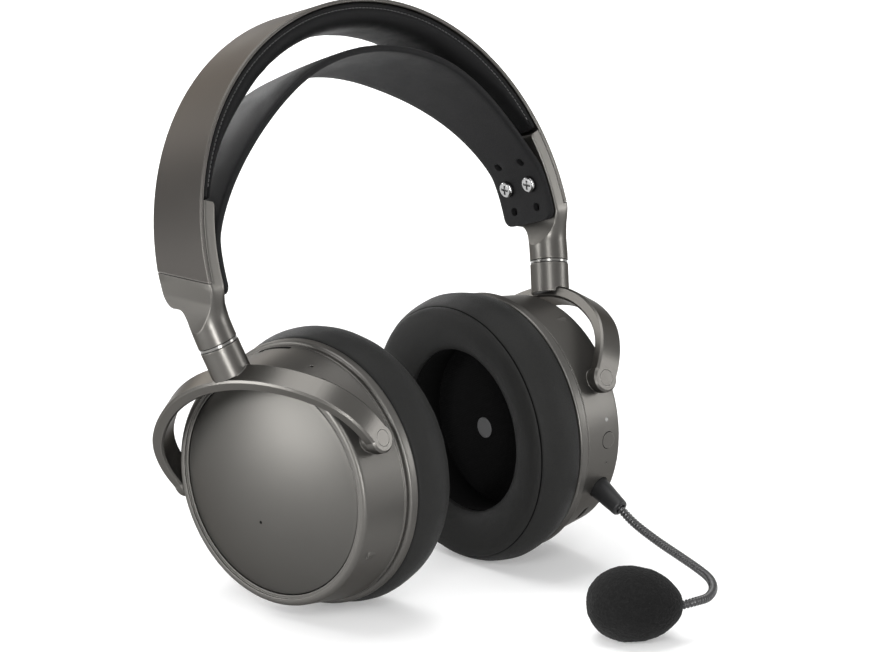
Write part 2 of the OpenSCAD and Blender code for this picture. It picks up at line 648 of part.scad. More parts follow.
module cup_housing_left()
    color("dimgray") cup_frame(LEFT) difference() {
        union() {
            housing_common();
            for (at = [volume_at, mix_at]) at_wall(at, wall_at(at[1]) + wheel_proud - wheel_d / 2)
                rotate([0, 90, 0]) cylinder(d = 5, h = web_x - at[1] + 0.2);
        }
        at_wall(light_at) cylinder(d = light_d + 0.1, h = reach + 20, $fn = 32);
        at_wall(button_at) cylinder(d = button_d + 2 * button_play, h = reach + 20);
        at_wall(talk_hole_at, wall_at(talk_hole_at[1]) - 2) cylinder(d = 1, h = 4, $fn = 24);
        at_wall(usb_at) translate([-usb_h / 2, -usb_w / 2, 0]) cube([usb_h, usb_w, reach + 20]);
        at_wall(jack_at) cylinder(d = jack_body_d + 0.1, h = reach + 20);
        at_wall([boom_angle, boom_x]) cylinder(d = socket_d + 0.1, h = reach + 20);
        at_wall([boom_angle, boom_x], spot_r) cylinder(d = sleeve_d + 2 * sleeve_play, h = reach);
        at_wall(mute_at) translate([-mute_w / 2 - 0.1, -mute_len / 2 - mute_travel / 2 - 0.1, 0])
            cube([mute_w + 0.2, mute_len + mute_travel + 0.2, reach + 20]);
        for (at = [volume_at, mix_at]) {
            wheel_slot(at);
            at_wall(at, wall_at(at[1]) + wheel_proud - wheel_d / 2) rotate([0, 90, 0])
                cylinder(d = axle_d + 2 * press_play, h = reach / 4, center = true, $fn = 32);
            at_wall(at, wall_at(at[1]) + wheel_proud - wheel_d / 2) rotate([0, -90, 0])
                cylinder(d = axle_head_d + 0.4, h = wheel_w / 2 + axle_head_t + 0.4, $fn = 32);
        }
    }
module cup_housing_right()
    color("dimgray") cup_frame(RIGHT) difference() {
        housing_common();
        at_wall(hole_at_right, wall_at(hole_at_right[1]) - 1.8) cylinder(d = 1.4, h = 4, $fn = 24);
    }

// Dome cap: shallow ball with an upright edge, glued into its seat
module dome_section(r, ball, low)
    intersection() {
        translate([0, seat_x + dome_edge + dome_crown - dome_ball]) circle(ball, $fn = 200);
        translate([-1, low]) square([r + 1, reach]);
    }
module dome_cap(side)
    color("dimgray") cup_frame(side) difference() {
        turned() difference() {
            intersection() {
                dome_section(dome_r, dome_ball, seat_x);
                square(2 * reach);
            }
            dome_section(dome_r - dome_t, dome_ball - dome_t, seat_x - 1);
        }
        if (side == RIGHT) translate([seat_x + dome_edge, 4.1, -12.1]) rotate([0, 90, 0])
            cylinder(d = 1.2, h = reach, $fn = 24);
    }

// Ring between housing and pad, with the driver's seat inside
module baffle_ring(side)
    color("dimgray") cup_frame(side) difference() {
        turned() polygon(concat(
            [[flange_hole_r, flange_x], [flange_hole_r, ledge_x], [flange_hole_r - ledge_w, ledge_x]],
            [[flange_hole_r - ledge_w, rim_x]],
            arc_points([flange_r - 1.2, rim_x - 1.2], 1.2, 90, 0, 5),
            arc_points([flange_r - 0.9, flange_x + 0.9], 0.9, 0, -90, 4)
        ));
        for (i = [0 : baffle_screws - 1]) rotate([45 + 360 * i / baffle_screws, 0, 0])
            translate([flange_x - 1, 0, baffle_screw_r]) rotate([0, 90, 0]) {
                cylinder(d = 2.3, h = flange_t + 2, $fn = 24);
                cylinder(d = 4.2, h = 2.6, $fn = 32);
            }
    }
module baffle_screw_set(side)
    color("silver") cup_frame(side)
        for (i = [0 : baffle_screws - 1]) rotate([45 + 360 * i / baffle_screws, 0, 0])
            translate([flange_x + 0.2, 0, baffle_screw_r]) rotate([0, 90, 0]) {
                cylinder(d = 1.9, h = 10, $fn = 24);
                difference() {
                    cylinder(d = 4, h = 1.4, $fn = 32);
                    for (a = [0, 90]) rotate([0, 0, a]) cube([0.6, 2.6, 1.2], center = true);
                }
            }

// Ear pad: leather ring, flattened where it stands on the table
module ear_pad(side)
    color("#1a1a1b") difference() {
        cup_frame(side) turned() polygon(pad_outline);
        translate([-150, -150, -50]) cube([300, 300, 50]);
    }

// Planar driver: frame, film, magnet bars and the cloth in front of them
driver_r = flange_hole_r - frame_play;
driver_hole_r = driver_r - 6;
module driver_frame(side)
    color("#2a2a2c") cup_frame(side) {
        difference() {
            disc(driver_r, ledge_x - frame_t, ledge_x);
            disc(driver_hole_r, ledge_x - frame_t - 1, ledge_x + 1);
        }
        for (i = [-3 : 3]) intersection() {
            disc(driver_hole_r + 1, ledge_x - frame_t, ledge_x - frame_t + 0.8);
            translate([ledge_x - frame_t - 1, -driver_r, i * 9.5 - 0.9]) cube([3, 2 * driver_r, 1.8]);
        }
    }
module diaphragm(side)
    color("silver") cup_frame(side) disc(flange_hole_r - ledge_w - 1, ledge_x, ledge_x + film_t);
module driver_magnets(side) {
    x0 = ledge_x + film_t;
    color("gray") cup_frame(side) {
        difference() {
            disc(flange_hole_r - ledge_w - 1, x0, x0 + 1.2);
            disc(driver_hole_r - 1, x0 - 1, x0 + 3);
        }
        for (i = [0 : magnet_count - 1]) intersection() {
            disc(driver_hole_r, x0 + 0.6, x0 + 3.6);
            translate([x0, -driver_r, (i - (magnet_count - 1) / 2) * 2.6 * magnet_w - magnet_w / 2])
                cube([4, 2 * driver_r, magnet_w]);
        }
    }
}
module driver_cloth(side)
    color("#242426") cup_frame(side) disc(driver_r, ledge_x - frame_t - cloth_t, ledge_x - frame_t);
module side_tag(side)
    color("#3a3a3c") cup_frame(side) translate([ledge_x - frame_t - cloth_t - 0.5, 6.7, -1.6])
        rotate([0, 90, 0]) cylinder(d = tag_d, h = 0.5, $fn = 48);
module vent_screen(side)
    color("#101010") cup_frame(side) at_wall([vent_angle, vent_x], wall_r - 1.6)
        translate([-vent_h / 2 + 0.05, -vent_w / 2 + 0.05, 0]) difference() {
            cube([vent_h - 0.1, vent_w - 0.1, 0.6]);
            for (i = [0 : 5]) translate([0.5, 0.9 + i * 1.6, -1]) cube([vent_h - 1.1, 0.9, 3]);
        }

// ---------------------------------------------------------------------
// Controls and electronics of the left cup, battery in the right one
module power_button()
    color("gray") cup_frame(LEFT) at_wall(button_at, wall_at(button_at[1]) + button_proud) {
        translate([0, 0, -button_h]) cylinder(d = button_d, h = button_h);
        translate([0, 0, -button_h - button_stem_h]) cylinder(d = button_stem_d, h = button_stem_h);
    }
module status_light()
    color("white") cup_frame(LEFT) at_wall(light_at, wall_at(light_at[1]) - 3.4) {
        cylinder(d = light_d, h = 3.3, $fn = 32);
        translate([0, 0, -1.2]) cylinder(d = 3, h = 1.3, $fn = 32);
    }
module usb_port()
    color("silver") cup_frame(LEFT) at_wall(usb_at, wall_at(usb_at[1]) - 1 - usb_len) difference() {
        translate([-usb_h / 2 + 0.05, -usb_w / 2 + 0.05, 0]) cube([usb_h - 0.1, usb_w - 0.1, usb_len]);
        difference() {
            translate([-usb_h / 2 + 0.35, -usb_w / 2 + 0.35, 1]) cube([usb_h - 0.7, usb_w - 0.7, usb_len]);
            translate([-0.35, -usb_w / 2 + 1.2, 0]) cube([0.7, usb_w - 2.4, usb_len - 0.8]);
        }
    }
module aux_jack()
    color("#151515") cup_frame(LEFT) at_wall(jack_at, wall_at(jack_at[1]) - 0.6 - jack_len) difference() {
        cylinder(d = jack_body_d, h = jack_len);
        translate([0, 0, 1]) cylinder(d = jack_d, h = jack_len);
    }
module mute_switch() {
    top = wall_at(mute_at[1]) + 0.8;
    color("#202020") cup_frame(LEFT) at_wall(mute_at, top) translate([0, -mute_travel / 2, 0]) difference() {
        translate([-mute_w / 2, -mute_len / 2, -4]) cube([mute_w, mute_len, 4]);
        for (y = [-1, 0, 1]) translate([0, y * 1.3, 0]) rotate([45, 0, 0]) cube([mute_w + 1, 0.6, 0.6], center = true);
    }
}
module knurled_wheel(at)
    color("#303032") cup_frame(LEFT) at_wall(at, wall_at(at[1]) + wheel_proud - wheel_d / 2)
        rotate([0, 90, 0]) difference() {
            cylinder(d = wheel_d, h = wheel_w, center = true);
            cylinder(d = axle_d + 2 * axle_play, h = wheel_w + 2, center = true, $fn = 32);
            for (i = [0 : wheel_teeth - 1]) rotate([0, 0, 360 * i / wheel_teeth])
                translate([wheel_d / 2 + 0.1, 0, 0]) rotate([0, 0, 45]) cube([0.6, 0.6, wheel_w + 2], center = true);
        }
module wheel_axles()
    color("silver") cup_frame(LEFT) for (at = [volume_at, mix_at])
        at_wall(at, wall_at(at[1]) + wheel_proud - wheel_d / 2) rotate([0, 90, 0]) {
            translate([0, 0, -wheel_w / 2 - 0.4]) cylinder(d = axle_d, h = wheel_w + 1.9, $fn = 32);
            translate([0, 0, -wheel_w / 2 - 0.2 - axle_head_t]) cylinder(d = axle_head_d, h = axle_head_t, $fn = 32);
        }
module boom_socket()
    color("#202020") cup_frame(LEFT) at_wall([boom_angle, boom_x], spot_r - socket_len) difference() {
        cylinder(d = socket_d, h = socket_len);
        translate([0, 0, 1]) cylinder(d = plug_d + 2 * plug_play, h = socket_len);
    }
module main_board()
    color("darkgreen") cup_frame(LEFT) difference() {
        translate([board_x, 0, 0]) rotate([0, 90, 0]) rotate([0, 0, board_from + 180])
            rotate_extrude(angle = board_span) translate([board_in, 0]) square([board_out - board_in, board_t]);
        at_wall([boom_angle, boom_x], spot_r - socket_len - 0.5) translate([0, 0, reach / 2])
            cube([socket_d + 1, socket_d + 1, reach], center = true);
    }
module battery()
    color("silver") cup_frame(RIGHT) translate([web_x - battery_size.x / 2, 0, battery_z]) cube(battery_size, center = true);

// ---------------------------------------------------------------------
// Boom microphone
module boom_plug()
    color("gold") cup_frame(LEFT) at_wall([boom_angle, boom_x], spot_r - plug_len) {
        cylinder(d = plug_d, h = plug_len + 6);
        translate([0, 0, -1]) cylinder(d1 = 1.6, d2 = plug_d, h = 1);
    }
module boom_sleeve()
    color("#181818") cup_frame(LEFT) at_wall([boom_angle, boom_x], spot_r) difference() {
        rotate_extrude() polygon(concat(
            [[0, 0.05], [sleeve_d / 2, 0.05], [sleeve_d / 2, 2]],
            arc_points([sleeve_tip_d / 2 - 1, sleeve_h - 1], 1, 8, 90, 5),
            [[0, sleeve_h]]
        ));
        translate([0, 0, -1]) cylinder(d = plug_d + 2 * press_play, h = 7);
        translate([0, 0, sleeve_h - neck_in]) cylinder(d = neck_d + 0.5, h = neck_in + 1);
    }
// Smooth curve through the route's points
route = concat([sleeve_tip - neck_in * boom_dir, sleeve_tip], neck_route,
    [foam_mid - (foam_len / 2 - 2) * foam_axis, foam_mid - (foam_len / 2 - 8) * foam_axis]);
function spline(p, i, t) = let (
    a = p[max(0, i - 1)], b = p[i], c = p[i + 1], d = p[min(len(p) - 1, i + 2)]
) ((2 * b) + (c - a) * t + (2 * a - 5 * b + 4 * c - d) * t * t + (3 * b - a - 3 * c + d) * t * t * t) / 2;
fine = [for (i = [0 : len(route) - 2], k = [0 : 11]) spline(route, i, k / 12)];
lengths = [for (i = 0, s = 0; i < len(fine); s = s + (i + 1 < len(fine) ? norm(fine[i + 1] - fine[i]) : 0), i = i + 1) s];
neck_len = lengths[len(lengths) - 1];
function along(s, lo, hi) = hi - lo <= 1
    ? mix(fine[lo], fine[hi], (s - lengths[lo]) / (lengths[hi] - lengths[lo]))
    : let (m = floor((lo + hi) / 2)) lengths[m] > s ? along(s, lo, m) : along(s, m, hi);
ring_count = 2 * neck_ribs;
centres = [for (i = [0 : ring_count]) along(min(neck_len - eps, neck_len * i / ring_count), 0, len(fine) - 1)];
module boom_gooseneck()
    color("#1c1c1c") cup_frame(LEFT) skin([
        for (i = [0 : ring_count]) let (
            d = unit(centres[min(i + 1, ring_count)] - centres[max(i - 1, 0)]),
            u = unit(cross(d, [0.8, 0, 0.6])),
            v = cross(d, u),
            r = neck_d / 2 - (i % 2 == 0 ? rib_depth : 0)
        ) [for (k = [0 : 7]) centres[i] + r * (cos(45 * k) * u - sin(45 * k) * v)]
    ]);
module foam_place() cup_frame(LEFT) translate(foam_mid)
    rotate([0, acos(foam_axis.z), atan2(foam_axis.y, foam_axis.x)]) children();
// Egg: fuller towards the free end
function egg(t) = let (c = cos(t)) [
    foam_d / 2 * sin(t) * (1 - 0.1 * c), -foam_len / 2 * c
];
module boom_foam()
    color("#161616") difference() {
        foam_place() difference() {
            rotate_extrude() polygon([for (i = [0 : 30]) egg(6 * i)]);
            translate([0, 0, -foam_len / 2 + 6]) cylinder(d = capsule_d + 0.2, h = capsule_len + 0.2);
            translate([0, 0, -foam_len]) cylinder(d = neck_d + 0.6, h = foam_len);
        }
        translate([-150, -150, -50]) cube([300, 300, 50]);
    }
module boom_capsule()
    color("#303030") foam_place() translate([0, 0, -foam_len / 2 + 8.1]) difference() {
        cylinder(d = capsule_d, h = capsule_len - 2.1);
        translate([0, 0, capsule_len - 3]) cylinder(d = capsule_d - 1.6, h = 2);
    }

headband_spring();
headband_pad();
suspension_strap();
strap_screws();
arm(LEFT);  // arm_left
arm(RIGHT);  // arm_right
swivel_washers();
yoke(LEFT);  // yoke_left
yoke(RIGHT);  // yoke_right
swivel_shaft(LEFT);  // swivel_shaft_left
swivel_shaft(RIGHT);  // swivel_shaft_right
swivel_grommet(LEFT);  // swivel_grommet_left
swivel_grommet(RIGHT);  // swivel_grommet_right
pivot_pins(LEFT);  // pivot_pins_left
pivot_pins(RIGHT);  // pivot_pins_right
cup_housing_left();
cup_housing_right();
dome_cap(LEFT);  // dome_cap_left
dome_cap(RIGHT);  // dome_cap_right
baffle_ring(LEFT);  // baffle_ring_left
baffle_ring(RIGHT);  // baffle_ring_right
baffle_screw_set(LEFT);  // baffle_screws_left
baffle_screw_set(RIGHT);  // baffle_screws_right
ear_pad(LEFT);  // ear_pad_left
ear_pad(RIGHT);  // ear_pad_right
driver_frame(LEFT);  // driver_frame_left
driver_frame(RIGHT);  // driver_frame_right
diaphragm(LEFT);  // diaphragm_left
diaphragm(RIGHT);  // diaphragm_right
driver_magnets(LEFT);  // driver_magnets_left
driver_magnets(RIGHT);  // driver_magnets_right
driver_cloth(LEFT);  // driver_cloth_left
driver_cloth(RIGHT);  // driver_cloth_right
side_tag(LEFT);  // side_tag_left
side_tag(RIGHT);  // side_tag_right
vent_screen(LEFT);  // vent_screen_left
vent_screen(RIGHT);  // vent_screen_right
power_button();
status_light();
usb_port();
aux_jack();
mute_switch();
knurled_wheel(volume_at);  // volume_wheel
knurled_wheel(mix_at);  // mix_wheel
wheel_axles();
boom_socket();
main_board();
battery();
boom_plug();
boom_sleeve();
boom_gooseneck();
boom_capsule();
boom_foam();
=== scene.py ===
import math
import bpy
from mathutils import Matrix, Vector, noise


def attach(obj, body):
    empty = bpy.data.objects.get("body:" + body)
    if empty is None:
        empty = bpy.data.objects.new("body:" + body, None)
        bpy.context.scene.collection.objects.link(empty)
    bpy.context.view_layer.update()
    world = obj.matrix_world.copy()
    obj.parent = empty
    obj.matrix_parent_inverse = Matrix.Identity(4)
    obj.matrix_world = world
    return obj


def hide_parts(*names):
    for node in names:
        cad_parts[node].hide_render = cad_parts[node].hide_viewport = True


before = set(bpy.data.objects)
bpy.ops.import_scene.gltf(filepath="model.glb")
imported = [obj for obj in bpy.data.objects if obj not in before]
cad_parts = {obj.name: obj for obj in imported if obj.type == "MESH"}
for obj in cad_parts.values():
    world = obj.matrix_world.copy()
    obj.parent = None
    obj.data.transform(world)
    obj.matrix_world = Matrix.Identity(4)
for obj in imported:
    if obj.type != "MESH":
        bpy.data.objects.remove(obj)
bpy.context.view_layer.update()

scene = bpy.context.scene
scene.view_settings.view_transform = "Standard"

# ---------------------------------------------------------------------------
# Camera: a long lens from the wearer's front right, a little above the cups,
# aimed at the middle of the headset.
AZIMUTH, ELEVATION = math.radians(-43.51), math.radians(14.84)
AIM_ASIDE, AIM_UP, DISTANCE = -0.01275, 0.10995, 1.47631
SENSOR, FOCAL_PIXELS, PICTURE_PIXELS = 36, 3815.85, 869
backward = Vector((
    math.sin(AZIMUTH) * math.cos(ELEVATION),
    -math.cos(AZIMUTH) * math.cos(ELEVATION),
    math.sin(ELEVATION),
))
rightward = Vector((math.cos(AZIMUTH), math.sin(AZIMUTH), 0))
upward = backward.cross(rightward)
lens = bpy.data.cameras.new("long_lens")
lens.sensor_width = SENSOR
lens.lens = SENSOR * FOCAL_PIXELS / PICTURE_PIXELS
lens.clip_end = 20
camera = bpy.data.objects.new("camera", lens)
camera.matrix_world = (
    Matrix.Translation(rightward * AIM_ASIDE + Vector((0, 0, AIM_UP)) + backward * DISTANCE)
    @ Matrix((rightward, upward, backward)).transposed().to_4x4()
)
scene.collection.objects.link(camera)
scene.camera = camera

# ---------------------------------------------------------------------------
# Table top and room: a plain white sheet under the headset, a pale room
# around it, and soft boxes at the sides and overhead.
TABLE_HALF = 6
FLOOR_WHITE, WHITE = (0.80, 0.80, 0.80, 1), (1, 1, 1, 1)
GLOW_NEAR, GLOW_FAR = (0.4, 0.23), (1.6, 0.80)  # distance on the table, strength
ROOM_LOW, ROOM_HIGH = (-0.3, 0.16), (1.0, 0.55)  # upward part of the view, strength
LAMPS_AIM = Vector((0, 0.04, 0.1))


def link(tree, source, target):
    tree.links.new(source, target)


def fill(tree, socket, value):
    """Links a socket to another one, or sets its number, colour or vector."""
    if isinstance(value, bpy.types.NodeSocket):
        link(tree, value, socket)
    else:
        socket.default_value = value


def feed(tree, node, **values):
    """Fills a node's sockets by name, with _ for a space."""
    for label, value in values.items():
        fill(tree, node.inputs[label.replace("_", " ")], value)


def add_node(tree, kind, **settings):
    node = tree.nodes.new("ShaderNode" + kind)
    for label, value in settings.items():
        setattr(node, label, value)
    return node


def maths(tree, operation, a, b):
    node = add_node(tree, "Math", operation=operation)
    fill(tree, node.inputs[0], a)
    fill(tree, node.inputs[1], b)
    return node.outputs[0]


def graded(tree, value, start, end):
    """Value mapped between two pairs of (value, result), and held beyond them."""
    node = add_node(tree, "MapRange")
    feed(tree, node, From_Min=start[0], From_Max=end[0], To_Min=start[1], To_Max=end[1])
    feed(tree, node, Value=value)
    return node.outputs[0]


def object_space(tree):
    return add_node(tree, "TexCoord").outputs["Object"]


def new_material(name):
    material = bpy.data.materials.new(name)
    material.use_nodes = True
    tree = material.node_tree
    return material, tree, tree.nodes["Principled BSDF"]


def seen_directly(tree):
    """1 for rays from the camera, from gloss and through glass, 0 for the rest."""
    path = add_node(tree, "LightPath")
    total = path.outputs["Is Camera Ray"]
    for kind in ("Is Glossy Ray", "Is Transmission Ray"):
        total = maths(tree, "MAXIMUM", total, path.outputs[kind])
    return total


def add_mesh(name, points, faces):
    mesh = bpy.data.meshes.new(name)
    mesh.from_pydata([tuple(p) for p in points], [], faces)
    mesh.update()
    piece = bpy.data.objects.new(name, mesh)
    scene.collection.objects.link(piece)
    return piece


corners = [(TABLE_HALF * x, TABLE_HALF * y, 0) for x, y in ((-1, -1), (1, -1), (1, 1), (-1, 1))]
floor = add_mesh("table_top", corners, [(0, 1, 2, 3)])
paper, tree, shader = new_material("white_paper")
reach = add_node(tree, "VectorMath", operation="LENGTH")
link(tree, object_space(tree), reach.inputs[0])
glow = graded(tree, reach.outputs["Value"], GLOW_NEAR, GLOW_FAR)
feed(
    tree, shader, Base_Color=FLOOR_WHITE, Roughness=0.6, Specular_IOR_Level=0.2,
    Emission_Color=WHITE, Emission_Strength=maths(tree, "MULTIPLY", seen_directly(tree), glow),
)
floor.data.materials.append(paper)

world = bpy.data.worlds.new("room")
scene.world = world
world.use_nodes = True
tree = world.node_tree
split = add_node(tree, "SeparateXYZ")
link(tree, add_node(tree, "TexCoord").outputs["Generated"], split.inputs[0])
pale = graded(tree, split.outputs["Z"], ROOM_LOW, ROOM_HIGH)
feed(
    tree, tree.nodes["Background"], Color=WHITE,
    Strength=maths(tree, "MAXIMUM", pale, seen_directly(tree)),
)


def soft_box(name, towards, distance, size, power):
    lamp = bpy.data.lights.new(name, "AREA")
    lamp.shape = "RECTANGLE"
    lamp.size, lamp.size_y = size
    lamp.energy = power
    place = bpy.data.objects.new(name, lamp)
    aim = Vector(towards).normalized()
    place.location = LAMPS_AIM + aim * distance
    place.rotation_euler = aim.to_track_quat("Z", "Y").to_euler()
    place.visible_camera = False
    scene.collection.objects.link(place)


soft_box("box_side", (-0.94, 0.25, 0.08), 1.2, (0.70, 0.42), 15)
soft_box("box_front", (0.72, -0.67, 0.13), 1.5, (0.42, 0.42), 6.5)
soft_box("box_high", (-0.60, -0.62, 0.52), 1.8, (0.5, 0.5), 10)
soft_box("box_back", (0.12, 0.94, 0.34), 1.6, (1.4, 0.5), 15)
soft_box("box_near", (-0.57, -0.82, 0.03), 1.8, (0.36, 0.34), 21)
soft_box("box_top", (0.0, 0.15, 1.0), 1.4, (1.1, 0.9), 15)

# ---------------------------------------------------------------------------
# Spring band: a strip of spring steel bent to an arc and sprayed with a satin
# warm grey metallic lacquer, a shade darker than the castings.
GUNMETAL = (0.076, 0.073, 0.068, 1)
BAND_GREY = (0.050, 0.047, 0.044, 1)
WORN_EDGE_GLINT = (0.34, 0.33, 0.31, 1)
EDGE_TINT = (0.35, 0.34, 0.33, 1)
STAND_AT, STAND_LEAN, STAND_ROLL = (0, 0.055, 0.132988), -18.5, -0.441961
BAND_OUT, BAND_IN, BAND_HALF = 0.096, 0.0944, 0.015
BAND_CUT, BAND_STEPS = 0.00035, 132
SEAM_Z, SEAM_SLOPE, SEAM_GAP = 0.00335, 0.297, 0.0001


def shader_group(name, inputs):
    """Node group with inputs (name, type, default) that puts out colour, roughness and normal."""
    made = bpy.data.node_groups.new(name, "ShaderNodeTree")
    for label, kind, value in inputs:
        socket = made.interface.new_socket(label, in_out="INPUT", socket_type="NodeSocket" + kind)
        socket.default_value = value
    for label, kind in (("Color", "Color"), ("Roughness", "Float"), ("Normal", "Vector")):
        made.interface.new_socket(label, in_out="OUTPUT", socket_type="NodeSocket" + kind)
    return made, made.nodes.new("NodeGroupInput").outputs, made.nodes.new("NodeGroupOutput")


def spread(tree, low, value, span):
    """low + value * span"""
    return maths(tree, "ADD", low, maths(tree, "MULTIPLY", value, span))


def centred(tree, value):
    return maths(tree, "SUBTRACT", value, 0.5)


def texture(tree, kind, place, scale, feature=None, **sockets):
    node = add_node(tree, "Tex" + kind)
    if feature:
        node.feature = feature
    feed(tree, node, Vector=place, Scale=scale, **sockets)
    return node


def mix_colour(tree, factor, a, b):
    node = add_node(tree, "Mix", data_type="RGBA")
    for index, value in ((0, factor), (6, a), (7, b)):  # the sockets for colours
        fill(tree, node.inputs[index], value)
    return node.outputs[2]


def shaded(tree, colour, shade):
    node = add_node(tree, "VectorMath", operation="SCALE")
    fill(tree, node.inputs[0], colour)
    feed(tree, node, Scale=shade)
    return node.outputs[0]


def rounded_normal(tree, radius, samples=None):
    """Normal that turns softly over sharp edges."""
    node = add_node(tree, "Bevel")
    if samples:
        node.samples = samples
    feed(tree, node, Radius=radius)
    return node.outputs[0]


def bump(tree, height, depth, normal=None):
    node = add_node(tree, "Bump")
    feed(tree, node, Height=height, Strength=1, Distance=depth)
    if normal is not None:
        feed(tree, node, Normal=normal)
    return node.outputs[0]


# Metallic lacquer: fine flecks, a slow change of tone, and rounded edges
# mixed paler, as a painted highlight along them and as lacquer rubbed thin.
lacquer, given, out = shader_group("metallic_lacquer", [
    ("Color", "Color", GUNMETAL), ("Fleck", "Float", 0.1), ("Wear", "Float", 0.3),
    ("Gloss", "Float", 0.36), ("Radius", "Float", 0.0004),
])
spot = object_space(lacquer)
flecks = texture(lacquer, "Noise", spot, 2600, Detail=2).outputs["Fac"]
tone = texture(lacquer, "Noise", spot, 22, Detail=3).outputs["Fac"]
bend = add_node(lacquer, "VectorMath", operation="DOT_PRODUCT")
link(lacquer, rounded_normal(lacquer, 0.0009, samples=6), bend.inputs[0])
link(lacquer, add_node(lacquer, "NewGeometry").outputs["Normal"], bend.inputs[1])
# Painted highlight and wear: rounded edges, found where the rounded normal turns from the true one,
# are mixed towards a paler colour.
edge = maths(lacquer, "MULTIPLY", maths(lacquer, "SUBTRACT", 1.0, bend.outputs["Value"]), 6.0)
edge = maths(lacquer, "MINIMUM", maths(lacquer, "MULTIPLY", edge, tone), 1.0)
edge = maths(lacquer, "MULTIPLY", edge, given["Wear"])
shade = spread(lacquer, 1.0, centred(lacquer, flecks), given["Fleck"])
shade = maths(lacquer, "MULTIPLY", shade, spread(lacquer, 0.93, tone, 0.14))
feed(
    lacquer, out,
    Color=mix_colour(lacquer, edge, shaded(lacquer, given["Color"], shade), WORN_EDGE_GLINT),
    Roughness=spread(lacquer, given["Gloss"], centred(lacquer, tone), 0.12),
    Normal=bump(lacquer, flecks, 0.000012, rounded_normal(lacquer, given["Radius"], samples=6)),
)


def coated(name, group, colour, values):
    """Material whose colour, roughness and normal come from a group."""
    material, tree, shader = new_material(name)
    use = add_node(tree, "Group", node_tree=group)
    feed(tree, use, Color=colour, **values)
    feed(
        tree, shader, Base_Color=use.outputs["Color"], Roughness=use.outputs["Roughness"],
        Normal=use.outputs["Normal"],
    )
    return material, tree, shader


def lacquered(name, colour, metallic=0.9, **values):
    material, tree, shader = coated(name, lacquer, colour, values)
    feed(tree, shader, Metallic=metallic, Specular_Tint=EDGE_TINT)
    return material


def at_stand():
    return (
        Matrix.Translation(STAND_AT)
        @ Matrix.Rotation(math.radians(STAND_LEAN), 4, "X")
        @ Matrix.Rotation(math.radians(STAND_ROLL), 4, "Y")
    )


def sweep_mesh(name, rings, closed=False):
    """Skin between rings of equal length, each ring closed on itself."""
    count = len(rings[0])
    faces = []
    last = len(rings) if closed else len(rings) - 1
    for i in range(last):
        a, b = i * count, (i + 1) % len(rings) * count
        for j in range(count):
            ahead = (j + 1) % count
            faces.append((a + j, a + ahead, b + ahead, b + j))
    if not closed:
        faces.append(tuple(range(count - 1, -1, -1)))
        faces.append(tuple(range((len(rings) - 1) * count, len(rings) * count)))
    return add_mesh(name, [p for ring in rings for p in ring], faces)


def keep_edges(piece, degrees):
    for polygon in piece.data.polygons:
        polygon.use_smooth = True
    piece.data.set_sharp_from_angle(angle=math.radians(degrees))
    return piece


def put_on(piece, body, slot_name, material, *replaced):
    piece.data.materials.clear()
    piece.data.materials.append(material)
    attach(piece, body)
    if replaced:
        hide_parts(*replaced)


def around_band(r, y, angle):
    """Point at a radius, a place across the band and an angle above the horizontal."""
    return at_stand() @ Vector((r * math.cos(angle), y, r * math.sin(angle)))


def seam_angle(y):
    return (SEAM_Z + SEAM_SLOPE * y) / BAND_OUT


across = [f * (BAND_HALF - BAND_CUT) for f in (1, 0.6, 0.2, -0.2, -0.6, -1)]
strip = [(BAND_OUT, y) for y in across]
strip += [(BAND_OUT - BAND_CUT, -BAND_HALF), (BAND_IN + BAND_CUT, -BAND_HALF)]
strip += [(BAND_IN, y) for y in reversed(across)]
strip += [(BAND_IN + BAND_CUT, BAND_HALF), (BAND_OUT - BAND_CUT, BAND_HALF)]
rings = []
for i in range(BAND_STEPS + 1):
    ring = []
    for r, y in strip:
        low = seam_angle(y) + SEAM_GAP / BAND_OUT
        ring.append(around_band(r, y, low + (math.pi - 2 * low) * i / BAND_STEPS))
    rings.append(ring[::-1])
spring = keep_edges(sweep_mesh("spring_band", rings), 30)
band_lacquer = lacquered("band_lacquer", BAND_GREY, Fleck=0.14, Gloss=0.40, Wear=0.5, Radius=0.0003)
put_on(spring, "headband", "band_steel", band_lacquer, "headband_spring")

# ---------------------------------------------------------------------------
# Liner under the band: foam in black leatherette. A flat strip lies against
# the steel, a stitched seam runs along each side, and the inside is padded.
LINER_T, LINER_END_T, LINER_HALF = 0.0094, 0.0046, 0.0142
LINER_END, LINER_RISE, LINER_STEPS = 19.1, 32, 150  # degrees, degrees, rings
LINER_CLOSED, LINER_CLOSING = 0.55, 7  # share of the thickness at the end, rings
LINER_GAP, WELT = 0.0001, 0.0022
WAVE, WAVE_FROM = 0.00012, 0.0026
STITCHES, STITCH_END, STITCH_IN, STITCH_LEN = 120, 3, 0.0004, 0.0013
THREAD_D, THREAD_SIDES, THREAD_RINGS = 0.00045, 5, 5
THREAD_RISE, THREAD_SINK = 0.45 * THREAD_D, 0.2 * THREAD_D

# Leather: a pebbled grain of small cells, with broad soft creases
hide, given, out = shader_group("leather_grain", [
    ("Color", "Color", (0.02, 0.02, 0.02, 1)), ("Scale", "Float", 1500),
    ("Depth", "Float", 0.00003), ("Crease", "Float", 0.00006), ("Gloss", "Float", 0.5),
])
spot = object_space(hide)
bent = add_node(hide, "VectorMath", operation="MULTIPLY_ADD")
link(hide, texture(hide, "Noise", spot, 400, Detail=1).outputs["Color"], bent.inputs[0])
bent.inputs[1].default_value = (0.0006, 0.0006, 0.0006)
link(hide, spot, bent.inputs[2])
cells = texture(hide, "Voronoi", bent.outputs[0], given["Scale"], feature="DISTANCE_TO_EDGE")
pebble = maths(hide, "MULTIPLY", cells.outputs["Distance"], 5.0)
pebble = maths(hide, "MINIMUM", pebble, 1.0)
soft = texture(hide, "Noise", spot, 85, Detail=4).outputs["Fac"]
fine = texture(hide, "Noise", spot, 5200, Detail=1).outputs["Fac"]
shade = spread(hide, spread(hide, 0.78, pebble, 0.16), soft, 0.24)
